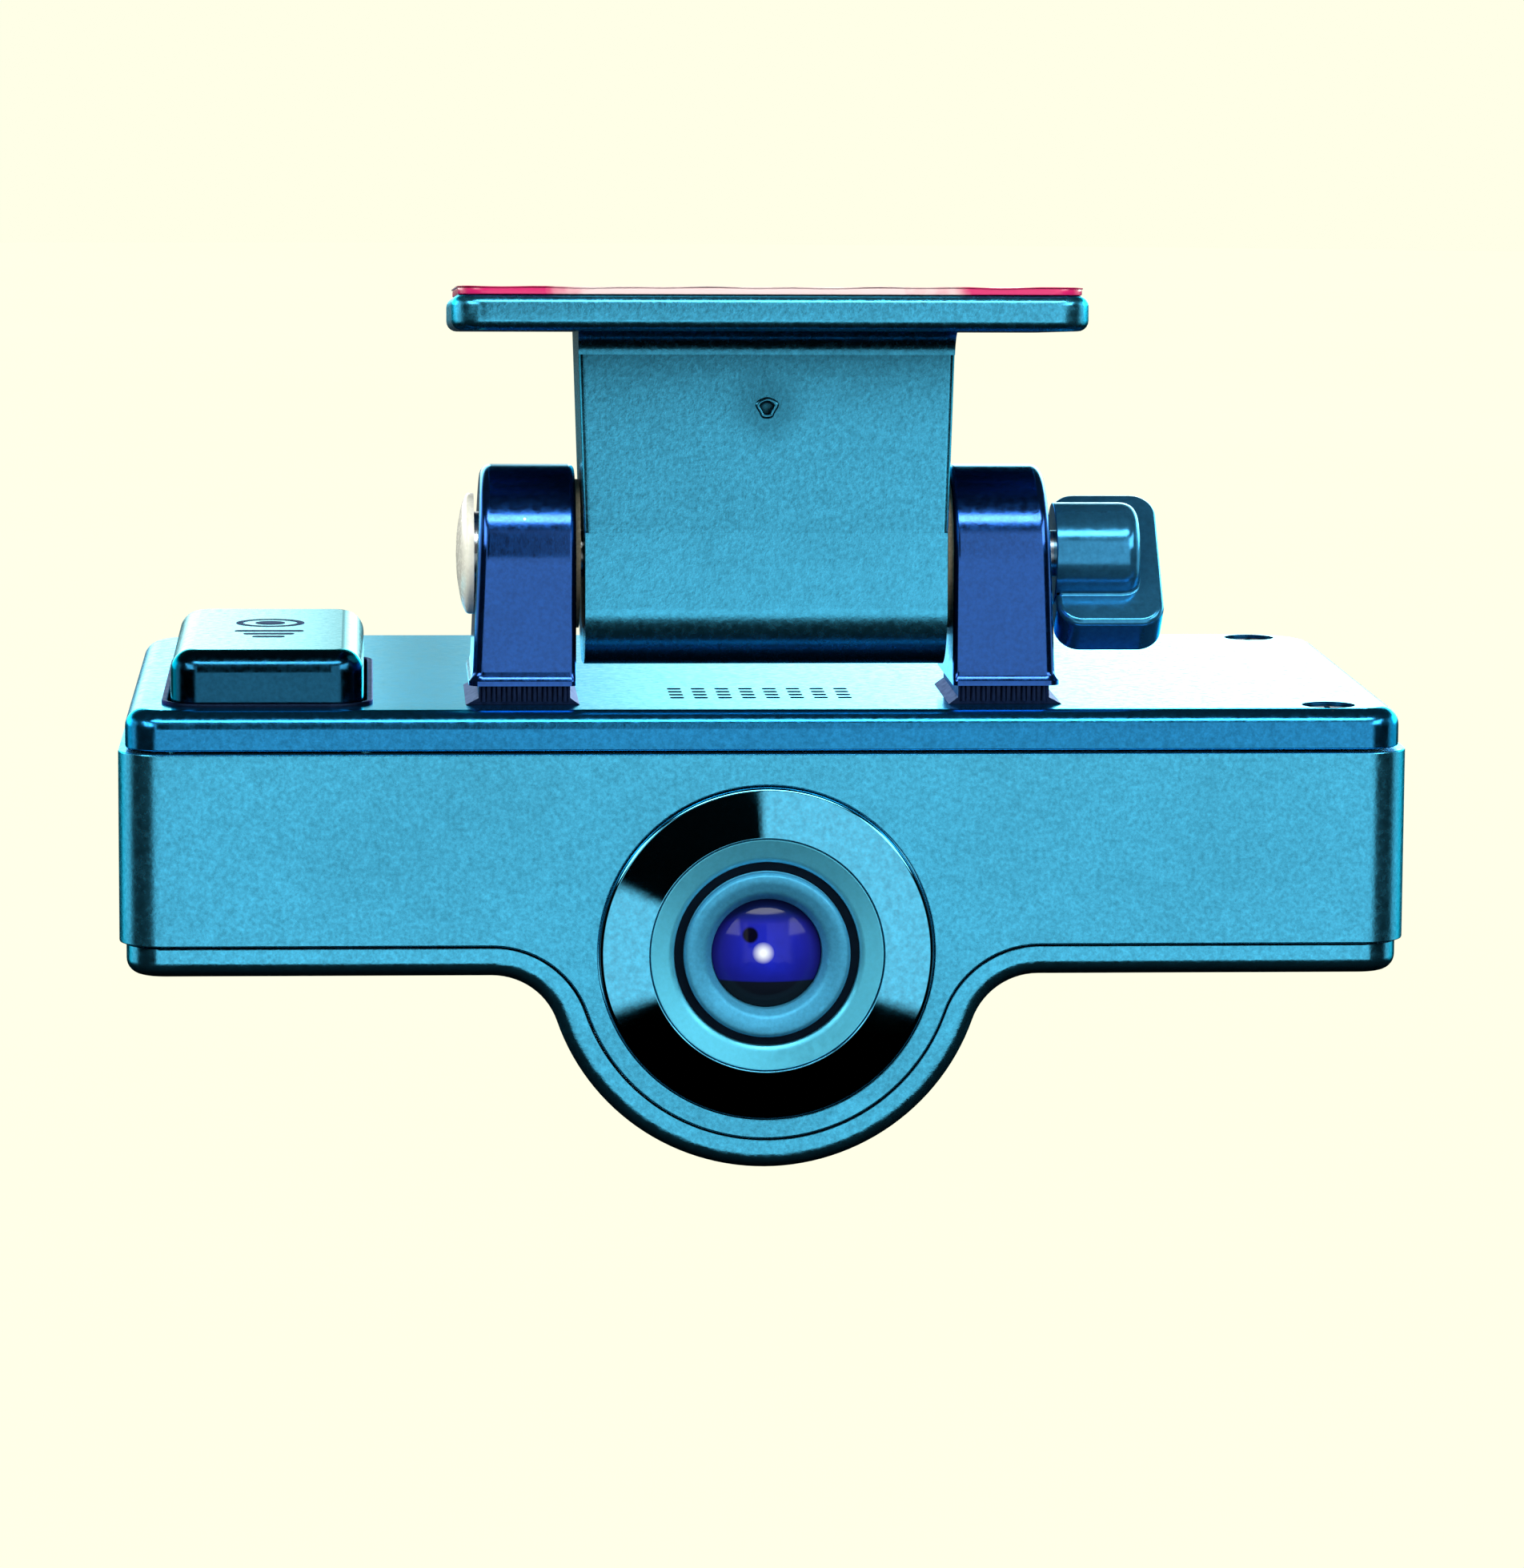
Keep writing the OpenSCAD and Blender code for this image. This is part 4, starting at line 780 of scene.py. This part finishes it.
def build_bracket():
    """Plate, neck and hinge knuckle in one moulding, and the raised lip round its gate mark."""
    top, under = PLATE_RISE, PLATE_RISE - PLATE_T
    front, back = PLATE_SHIFT - PLATE_HALF_D, PLATE_SHIFT + PLATE_HALF_D
    plate = solid(rounded_rect(-PLATE_HALF_W, PLATE_HALF_W, front, back, PLATE_R, PLATE_R), under, top, leaning)
    soften(plate, PLATE_ROLL, 5)

    low, high = NECK_LOW_HALF, NECK_HIGH_HALF
    flank = [(-low, 0), (low, 0), (high, top - 1), (-high, top - 1)]
    neck = solid(flank, NECK_FRONT, NECK_BACK, across_bracket)
    low_z, high_z = HINGE_RISE + 5, HINGE_RISE + 16
    soften(neck, NECK_ROLL, 4, limit=60, keep=lambda x, y, z: low_z < z < high_z and y < HINGE_DEPTH)

    chin_r = KNUCKLE_R - CHIN_DROP
    eye = [(NECK_FRONT, 2.0), (NECK_FRONT, -CHIN_DROP)]
    eye += arc(NECK_FRONT + chin_r, -CHIN_DROP, chin_r, 180, 270, 24)[1:] + arc(0, 0, KNUCKLE_R, 270, 440, 60)
    knuckle = solid(eye, -low, low, along_bracket)

    hollow_y, hollow_z, inside = NECK_FRONT - HOLLOW_R, under - HOLLOW_R, NECK_FRONT + 0.5
    corner = [(inside, hollow_z), (NECK_FRONT, hollow_z)]
    corner += arc(hollow_y, hollow_z, HOLLOW_R, 0, 90, 8)[1:]
    corner += [(hollow_y, under + 0.3), (inside, under + 0.3)]
    web = solid(corner, -high - 1, high + 1, along_bracket)
    web = boolean(web, [solid(flank, -15, 0, across_bracket)], "INTERSECT")
    body = boolean(plate, [neck, knuckle, web], "UNION")

    cuts = []
    for i in (-1, 0, 1):
        x0, x1 = i * POCKET_PITCH - POCKET_HALF, i * POCKET_PITCH + POCKET_HALF
        pocket = [(x0, POCKET_LOW), (x1, POCKET_LOW), (x1, POCKET_HIGH), (x0, POCKET_HIGH)]
        cuts.append(solid(pocket, POCKET_FRONT, POCKET_BACK, across_bracket))
    cuts.append(turned([(0, -8.9), (0.45, -8.95), (GATE_R, -9.6), (0, -9.8)], round_gate, 24))
    body = boolean(body, [joined(cuts)], "DIFFERENCE")
    piece("bracket_moulding", body, "mount", "bracket", ["bracket"])

    lip = fillet([(0.5, -9.3), (0.62, -9.42), (0.8, -9.40), (0.95, -9.28)], [0, 0.1, 0.1, 0])
    piece("gate_lip", turned(lip, round_gate, 36), "mount", "bracket")


def ear_face(height):
    """How far out the ear's outer face stands at a height, with the flare at its foot."""
    above = height - FOOT_H
    if above <= FLARE_LIP:
        return EAR_OUTER + EAR_FLARE
    if above < FLARE_H:
        return EAR_OUTER + EAR_FLARE * ((FLARE_H - above) / (FLARE_H - FLARE_LIP)) ** 2
    return EAR_OUTER - EAR_DRAFT * (above - FLARE_H) / (HINGE_RISE + EAR_R - FOOT_H - FLARE_H)


def ear_rows(inset):
    """Half depth and height of each row of an ear's side outline drawn in by an inset."""
    r = EAR_R - inset
    foot = [FOOT_H + FLARE_H * t for t in (0, 0.2, 0.33, 0.45, 0.6, 0.8, 1.0)]
    wall = [FOOT_H + FLARE_H + (HINGE_RISE - FOOT_H - FLARE_H) * i / 8 for i in range(1, 8)]
    rows = [(r + ear_face(height) - EAR_OUTER, height) for height in foot] + [(r, height) for height in wall]
    return rows + [(x, HINGE_RISE + z) for x, z in arc(0, 0, r, 0, 90, 24)]


def build_ear(name, side):
    """One upright ear, as rings that run from its inner face to its outer one."""
    bm = bmesh.new()
    levels = [(ROLL_IN * (1 - math.sin(a)), ROLL_IN * (1 - math.cos(a)), False) for a in arc_steps(6)]
    levels += [(ROLL_OUT * (1 - math.cos(a)), ROLL_OUT * (1 - math.sin(a)), True) for a in arc_steps(8)]
    rings = []
    for inset, drop, outside in levels:
        rows = ear_rows(inset)
        loop = [(HINGE_DEPTH - half, z) for half, z in rows]
        loop += [(HINGE_DEPTH + half, z) for half, z in rows[-2::-1]]
        ring = []
        for y, z in loop:
            x = ear_face(z) - drop if outside else EAR_INNER + drop
            ring.append(bm.verts.new(at(side * x, y, z)))
        rings.append(ring)
    count = len(rings[0])
    for a, b in zip(rings, rings[1:]):
        for i in range(count):
            j = (i + 1) % count
            bm.faces.new((a[i], a[j], b[j], b[i]))
    for ring in (rings[0], rings[-1]):
        for i in range(count // 2):
            corners = [ring[i], ring[i + 1], ring[count - 2 - i], ring[count - 1 - i]]
            bm.faces.new(tuple(dict.fromkeys(corners)))
    piece(name + "_moulding", bm, "camera", "ear", [name])


def build_feet():
    """Dark feet under the ears, with pointed tips and a ribbed front."""
    parts = []
    tip, inset, ribs = 0.6, 0.5, 9
    pitch = (EAR_OUTER - EAR_INNER - 2 * inset) / ribs
    front = HINGE_DEPTH - EAR_R + inset
    section = [
        (EAR_INNER - tip / 2, 0.02),
        (EAR_OUTER + tip, 0.02),
        (EAR_OUTER - inset, tip),
        (EAR_OUTER - inset, FOOT_H),
        (EAR_INNER + inset, FOOT_H),
        (EAR_INNER + inset, tip),
    ]
    for side in (-1, 1):
        length = 2 * (EAR_R - inset)
        parts.append(solid([(side * x, z) for x, z in section], front, front + length, backward))
        for i in range(ribs):
            x = side * (EAR_INNER + inset + (i + 0.5) * pitch)
            parts.append(bar(round_upright(x, front), pitch * 0.32, 0.3, FOOT_H - 0.1, 12))
    piece("ear_feet_ribbed", joined(parts), "camera", "foot", ["ear_feet"])


CAP_R = 5.2


def build_hinge_cap():
    """The shallow disc on the left ear."""
    cap_low, cap_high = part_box("hinge_cap")
    outer, inner = cap_low.x / MM, cap_high.x / MM
    profile = [(0, outer), (2.0, outer + 0.08), (4.2, outer + 0.45), (CAP_R, outer + 0.9)]
    profile += [(CAP_R, inner), (0, inner)]
    bm = turned(fillet(profile, [0, 0.6, 0.8, 0.3, 0, 0]), round_hinge, 96)
    piece("hinge_cap_domed", bm, "camera", "cap", ["hinge_cap"])


HUB_R = 4.4
HUB_L = 7.4
PADDLE_L = 9.4
PADDLE_T = 4.2
PADDLE_DOWN, PADDLE_UP = 7.6, 6.7
PADDLE_R = 2.2
PADDLE_ROLL, KNOB_ROLL = 0.6, 0.3
PADDLE_LEAN = math.radians(44)


def build_knob():
    """The lock knob: a hub on the hinge bolt with a paddle across it."""
    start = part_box("lock_knob")[0].x / MM
    end = start + HUB_L
    hub = fillet([(0, start), (HUB_R, start), (HUB_R, end), (0, end)], [0, 0.15, 1.7, 0], 8)
    hub = turned(hub, round_hinge, 96)
    up = Vector((0, math.sin(PADDLE_LEAN), math.cos(PADDLE_LEAN)))
    front = Vector((0, -math.cos(PADDLE_LEAN), math.sin(PADDLE_LEAN)))

    def on_paddle(u, v, w):
        return at(u, HINGE_DEPTH, HINGE_RISE) + (up * v + front * w) * MM

    outline = rounded_rect(start + 0.1, start + PADDLE_L, -PADDLE_DOWN, PADDLE_UP, PADDLE_R, PADDLE_R)
    paddle = solid(outline, -PADDLE_T, 0, on_paddle)
    soften(paddle, PADDLE_ROLL, 5)
    knob = boolean(paddle, [hub], "UNION")
    soften(knob, KNOB_ROLL, 3, limit=50, keep=lambda x, y, z: x > start + 0.3)
    piece("lock_knob_moulding", knob, "knob", "knob", ["lock_knob"])


# ---------------------------------------------------------------- record key

KEY_TOP = in_body(KEY_HIGH)[2]
MARK_LOW, MARK_HIGH = KEY_TOP - 0.05, KEY_TOP + 0.03
MARK_UP = 4.5  # the mark's ring, behind the key's middle
MARK_BAR = 0.9


def build_key():
    """The large key with its printed mark."""
    bm = solid(key_outline(0, KEY_R), -KEY_ROLL, KEY_TOP, upright)
    soften(bm, KEY_ROLL, 9, keep=lambda x, y, z: z > KEY_TOP - 0.1)
    piece("record_key_moulding", bm, "key", "key", ["record_key"])

    mid_x, mid_y = (KEY_X0 + KEY_X1) / 2, (KEY_Y0 + KEY_Y1) / 2
    place = round_upright(mid_x, mid_y + MARK_UP)
    ring = [(2.4, MARK_LOW), (3.0, MARK_LOW), (3.0, MARK_HIGH), (2.4, MARK_HIGH)]
    parts = [turned(ring, place, 64, closed=True), bar(place, 1.3, MARK_LOW, MARK_HIGH)]
    for half, y in ((3, -2.2), (2.2, -4.4), (1.4, -6.6)):
        outline = rounded_rect(-half, half, y, y + MARK_BAR, 0.4, 0.4, 4)
        parts.append(solid([(mid_x + x, mid_y + y) for x, y in outline], MARK_LOW, MARK_HIGH, upright))
    piece("record_mark", joined(parts), "key", "print")


def build_bezel():
    """The thin dark ledge round the key's foot."""
    outer = key_outline(KEY_MARGIN + BEZEL_W, BEZEL_R)
    inner = key_outline(KEY_MARGIN, WELL_R)
    bezel = boolean(solid(outer, 0.0, BEZEL_H, upright), [solid(inner, -1, 2, upright)], "DIFFERENCE")
    soften(bezel, BEZEL_ROLL, 3, limit=50, keep=lambda x, y, z: z > BEZEL_H - 0.05)
    piece("key_bezel_frame", bezel, "camera", "dark", ["key_bezel"])


# ---------------------------------------------------------------- lens


TRIM_R = 14.3
TRIM_FLANGE_R = 15.6
TRIM_LIP = 0.36  # the ring's outer edge in front of the lens face
TRIM_PROUD = 1.2  # the ring's inner edge in front of the lens face
TRIM_SHOULDER = 2.05
CONE_OUTER_R = 10.0
CONE_INNER_R = 7.9
SEAT = 3.0  # depth that the ring and the cone reach to
BARREL_R = 7.1
BARREL_BACK = 13.5
BORE_R = 3.6
THREADS, THREAD_PITCH, THREAD_H, THREAD_BACK = 5, 0.32, 0.13, 1.2
RING_GAP = 0.02
GLASS_R = 4.65
GLASS_DOME_R = 7.4
GLASS_RIM = 0.5
GLASS_BACK = 2.5


def lens_ring(name, profile, steps, material, replaces=()):
    """A ring turned about the lens axis."""
    piece(name, turned(profile, round_lens, steps, closed=True), "camera", material, replaces)


def build_trim():
    """The glossy ring that rises inwards, and the satin cone inside it."""
    ring = [
        (TRIM_FLANGE_R, TRIM_SHOULDER),
        (TRIM_R, TRIM_SHOULDER),
        (TRIM_R, -TRIM_LIP),
        (CONE_OUTER_R, -TRIM_PROUD),
        (CONE_OUTER_R, SEAT),
        (TRIM_FLANGE_R, SEAT),
    ]
    ring = fillet(ring, [0, 0, 0.42, 0.12, 0, 0], 8)
    lens_ring("trim_polished_ring", ring, 192, "gloss", ["trim_ring"])
    cone = [(9.95, SEAT), (9.95, -1.05), (8.25, -0.6), (CONE_INNER_R, -0.4), (CONE_INNER_R, SEAT)]
    cone = fillet(cone, [0, 0.15, 0.2, 0.1, 0])
    lens_ring("satin_cone_ring", cone, 160, "satin", ["satin_cone"])


def build_barrel():
    """The barrel with its thread and rounded mouth, and a dark ring in the gap round it that stands for shade."""
    barrel = [(BORE_R, BARREL_BACK), (BARREL_R, BARREL_BACK), (BARREL_R, THREAD_BACK)]
    root = BARREL_R - THREAD_H
    for i in range(THREADS):
        depth = THREAD_BACK - i * THREAD_PITCH
        barrel += [(BARREL_R, depth), (root, depth - 0.08), (root, depth - 0.2), (BARREL_R, depth - 0.28)]
    mouth = [(BARREL_R, -0.5), (BARREL_R, -1.0), (6.85, -1.34), (6.3, -1.36), (5.3, -1.0), (4.72, -0.3)]
    mouth += [(4.72, 2.6), (BORE_R, 2.6)]
    barrel += fillet(mouth, [0, 0.2, 0.25, 0.3, 0.3, 0.15, 0, 0])
    lens_ring("lens_barrel_threaded", barrel, 160, "barrel", ["lens_barrel"])
    # Painted shade: a dark ring set into the gap between barrel and cone, where there is only shade.
    inside, outside = BARREL_R + RING_GAP, CONE_INNER_R - RING_GAP
    gap = [(inside, 0.0), (outside, 0.0), (outside, 0.4), (inside, 0.4)]
    lens_ring("barrel_gap_painted_shade_ring", gap, 128, "gap")


def build_glass():
    """The domed front element."""
    sag = math.sqrt(GLASS_DOME_R**2 - GLASS_R**2)
    glass = [(0, GLASS_BACK), (GLASS_R, GLASS_BACK), (GLASS_R, GLASS_RIM)]
    for i in range(1, 17):
        r = GLASS_R * (1 - i / 16)
        glass.append((r, GLASS_RIM + sag - math.sqrt(GLASS_DOME_R**2 - r * r)))
    dome = turned(glass, round_lens, 128)
    piece("front_glass_dome", dome, "camera", "glass", ["front_glass"])


# ---------------------------------------------------------------- adhesive


def tape_outline(margin, steps=12):
    """The tape's outline on the plate, grown by a margin."""
    half_w, half_d = TAPE_HALF_W + margin, TAPE_HALF_D + margin
    return rounded_rect(-half_w, half_w, PLATE_SHIFT - half_d, PLATE_SHIFT + half_d, TAPE_R, TAPE_R, steps)


def build_tape():
    """The foam tape on the plate."""
    foam = solid(tape_outline(0), PLATE_RISE, PLATE_RISE + TAPE_T, leaning)
    soften(foam, TAPE_ROLL, 2)
    piece("adhesive_foam", foam, "mount", "tape", ["adhesive_tape"])


FILM_RISE = PLATE_RISE + TAPE_T + 0.06
FILM_T = 0.07
FILM_STEP = 1.2
FILM_INSETS = [0.0, 0.5, 1.4, 3.0]  # rings of the film; inside the last one it lies flat


def film_ripple(x, y):
    """How far the film's rim stands off the tape."""
    return 0.035 * math.sin(x * 0.9) + 0.03 * math.sin(y * 1.3 + x * 0.37)


def build_film():
    """The release film, wavy along its rim."""
    outline = tape_outline(FILM_MARGIN, 10)
    dense = []
    for (x0, y0), (x1, y1) in zip(outline, outline[1:] + outline[:1]):
        count = max(1, int(math.hypot(x1 - x0, y1 - y0) / FILM_STEP))
        dense += [(x0 + (x1 - x0) * k / count, y0 + (y1 - y0) * k / count) for k in range(count)]
    bm = bmesh.new()
    rings = []
    for level, inset in enumerate(FILM_INSETS):
        scale_x, scale_y = 1 - inset / TAPE_HALF_W, 1 - inset / TAPE_HALF_D
        fade = 1 - level / (len(FILM_INSETS) - 1)
        ring = []
        for x, y in dense:
            depth = PLATE_SHIFT + (y - PLATE_SHIFT) * scale_y
            ring.append(bm.verts.new(leaning(x * scale_x, depth, FILM_RISE + film_ripple(x, y) * fade)))
        rings.append(ring)
    for a, b in zip(rings, rings[1:]):
        for i in range(len(dense)):
            j = (i + 1) % len(dense)
            bm.faces.new((a[i], a[j], b[j], b[i]))
    bm.faces.new(rings[-1])
    bmesh.ops.recalc_face_normals(bm, faces=bm.faces)
    bmesh.ops.solidify(bm, geom=bm.faces[:], thickness=FILM_T * MM)
    piece("adhesive_film", bm, "mount", "film", ["tape_liner"])


# ---------------------------------------------------------------- pieces kept from the frame

KEPT = {
    "friction_washers": "fibre",
    "hinge_bolt": "steel",
    "ear_screws": "steel",
    "cover_screws": "black_steel",
    "key_switch": "dark",
    "rear_glass": "glass",
    "lens_holder": "dark",
    "image_sensor": "chip",
    "sensor_board": "board",
    "main_board": "board",
    "board_screws": "steel",
    "processor": "chip",
    "memory_chips": "chip",
    "heat_sink": "black_steel",
    "gps_antenna": "ceramic",
    "backup_cells": "sleeve",
    "speaker": "dark",
    "microphone": "steel",
    "power_socket": "steel",
    "video_socket": "dark",
    "card_socket": "steel",
    "memory_card": "card",
    "status_leds": "lamp",
    "light_pipes": "lamp",
    "mode_button": "knob",
    "mode_switch": "dark",
}


def dress_kept():
    """Gives the nodes that stay their material."""
    for name, material in KEPT.items():
        mesh = NODES[name].data
        mesh.materials.clear()
        mesh.materials.append(MATERIALS[material])


# ---------------------------------------------------------------- floor, light and camera


FLOOR_DROP = 120  # below the top face
FLOOR_R = 3000
PALE = (1.0, 1.0, 0.80)


def build_stage():
    """A plain pale floor that glows evenly and isn't mirrored by the object."""
    disc = turned([(0, -FLOOR_DROP), (FLOOR_R, -FLOOR_DROP)], round_upright(0, 0), 64)
    floor = as_object("floor", disc)
    n = Nodes("floor_pale")
    n.link(n.ramp(n.noise(3.0, 2.0), [(0.3, (1.0, 1.0, 0.79)), (0.7, PALE)]), "Emission Color")
    n.set("Emission Strength", 1.0)
    n.set("Base Color", (0.02, 0.02, 0.016, 1.0))
    n.set("Roughness", 1.0)
    n.set("Specular IOR Level", 0.0)
    floor.data.materials.append(n.material)
    floor.visible_diffuse = False
    floor.visible_glossy = False


class Sky:
    """Builds the studio round the object: panels of light given by their direction."""

    def __init__(self, tree):
        self.tree = tree
        coord = tree.nodes.new("ShaderNodeTexCoord")
        split = tree.nodes.new("ShaderNodeSeparateXYZ")
        tree.links.new(coord.outputs["Generated"], split.inputs[0])
        self.axis = dict(zip("xyz", split.outputs))
        self.total = None

    def maths(self, operation, a, b=0.0):
        node = self.tree.nodes.new("ShaderNodeMath")
        node.operation = operation
        for socket, value in zip(node.inputs, (a, b)):
            if isinstance(value, bpy.types.NodeSocket):
                self.tree.links.new(value, socket)
            else:
                socket.default_value = value
        return node.outputs[0]

    def rise(self, axis, start, end):
        """Goes softly from nothing to one as a part of the direction goes from start to end."""
        node = self.tree.nodes.new("ShaderNodeMapRange")
        node.interpolation_type = "SMOOTHSTEP"
        self.tree.links.new(self.axis[axis], node.inputs["Value"])
        node.inputs["From Min"].default_value = start
        node.inputs["From Max"].default_value = end
        return node.outputs["Result"]

    def wave(self, axis, turns):
        return self.maths("SINE", self.maths("MULTIPLY", self.axis[axis], turns))

    def patch(self, strength, *edges):
        """A value of one strength where every (axis, start, end) edge has risen."""
        mask = strength
        for axis, start, end in edges:
            mask = self.maths("MULTIPLY", self.rise(axis, start, end), mask)
        return mask

    def add(self, light):
        self.total = light if self.total is None else self.maths("ADD", self.total, light)


# Panels of light as (strength, edges...). An edge is (part of the direction, start, end) of a rise.
# The front panel's lower edge runs along w, which is the height made slightly wavy. The flag is a dark
# patch in front of that panel.
FRONT_PANEL = (
    1.45, ("y", -0.30, -0.60), ("w", -0.34, -0.30), ("z", 0.62, 0.50), ("x", -0.54, -0.40), ("x", 0.66, 0.50),
)
FRONT_FLAG = (1.0, ("x", -0.40, -0.36), ("x", 0.06, 0.03), ("z", -0.01, 0.03), ("z", 0.60, 0.50))
WAVES, WAVE_HEIGHT = 26.0, 0.02
HIGH_STRIP = (
    14.0, ("y", -0.35, -0.50), ("z", 0.70, 0.74), ("z", 0.85, 0.81), ("x", -0.7, -0.5), ("x", 0.7, 0.5),
)
BACK_RIGHT = (8.0, ("y", 0.30, 0.60), ("z", -0.02, 0.06), ("z", 0.40, 0.24), ("x", -0.02, 0.17))
BACK_FILL = (0.22, ("y", 0.15, 0.50), ("z", -0.20, 0.0), ("z", 0.50, 0.30))
BACK_LEFT = (4.0, ("y", 0.30, 0.60), ("z", -0.02, 0.06), ("z", 0.40, 0.24), ("x", 0.01, -0.03))
SIDE_FILL = (0.02, ("z", -0.5, 0.0), ("y", -0.5, 0.2))
SKY_FILL = (0.01, ("z", -0.2, 0.9))


def rim_panel(out):
    """A tall panel beside the object."""
    return (1.2, ("x", 0.66 * out, 0.80 * out), ("y", -0.1, 0.2), ("z", -0.4, -0.2), ("z", 0.5, 0.3))


def corner_panel(out):
    """A small bright panel ahead and to one side, which glints in the rounded edges."""
    sides = ("x", 0.50 * out, 0.58 * out), ("x", 0.86 * out, 0.80 * out)
    return (6.0, *sides, ("z", 0.24, 0.30), ("z", 0.62, 0.55), ("y", -0.1, -0.25))


def build_world():
    """What the object mirrors is the sky of panels; what the camera sees behind it is plain and pale."""
    world = bpy.data.worlds.new("studio")
    bpy.context.scene.world = world
    world.use_nodes = True
    tree = world.node_tree
    tree.nodes.clear()
    sky = Sky(tree)
    wavy = sky.maths("MULTIPLY", sky.wave("x", WAVES), WAVE_HEIGHT)
    sky.axis["w"] = sky.maths("ADD", sky.axis["z"], wavy)
    front = sky.patch(*FRONT_PANEL)
    unshaded = sky.maths("SUBTRACT", 1.0, sky.patch(*FRONT_FLAG))
    sky.add(sky.maths("MULTIPLY", front, unshaded))
    panels = [HIGH_STRIP, BACK_RIGHT, BACK_FILL, BACK_LEFT]
    for out in (-1, 1):
        panels += [rim_panel(out), corner_panel(out)]
    for panel in panels + [SIDE_FILL, SKY_FILL]:
        sky.add(sky.patch(*panel))
    lit = tree.nodes.new("ShaderNodeBackground")
    tree.links.new(sky.total, lit.inputs["Strength"])
    lit.inputs["Color"].default_value = (1.0, 1.0, 0.95, 1)
    seen = tree.nodes.new("ShaderNodeBackground")
    seen.inputs["Color"].default_value = (*PALE, 1)
    path = tree.nodes.new("ShaderNodeLightPath")
    mix = tree.nodes.new("ShaderNodeMixShader")
    out = tree.nodes.new("ShaderNodeOutputWorld")
    tree.links.new(path.outputs["Is Camera Ray"], mix.inputs[0])
    tree.links.new(lit.outputs[0], mix.inputs[1])
    tree.links.new(seen.outputs[0], mix.inputs[2])
    tree.links.new(mix.outputs[0], out.inputs["Surface"])


CAMERA_PLACE = (-33.7, -546, 68.6)
CAMERA_AIM = (0.06016, 0.98896, -0.13540)
CAMERA_ROLL = 0.0059


def build_camera():
    """The camera at the photograph's viewing angle."""
    data = bpy.data.cameras.new("camera")
    data.sensor_width = 36.0
    data.lens = 149.5
    data.clip_start = 0.01
    data.clip_end = 50.0
    camera = bpy.data.objects.new("camera", data)
    camera.location = at(*CAMERA_PLACE)
    camera.rotation_mode = "QUATERNION"
    roll = Quaternion((0, 0, 1), CAMERA_ROLL)
    camera.rotation_quaternion = Vector(CAMERA_AIM).to_track_quat("-Z", "Y") @ roll
    bpy.context.scene.collection.objects.link(camera)
    bpy.context.scene.camera = camera
    bpy.context.scene.view_settings.view_transform = "Standard"
    bpy.context.scene.view_settings.look = "None"


build_camera()
build_band()
build_top_cover()
build_lower_cover()
build_bracket()
build_ear("left_ear", -1)
build_ear("right_ear", 1)
build_feet()
build_hinge_cap()
build_knob()
build_key()
build_bezel()
build_trim()
build_barrel()
build_glass()
build_tape()
build_film()
dress_kept()
build_stage()
build_world()
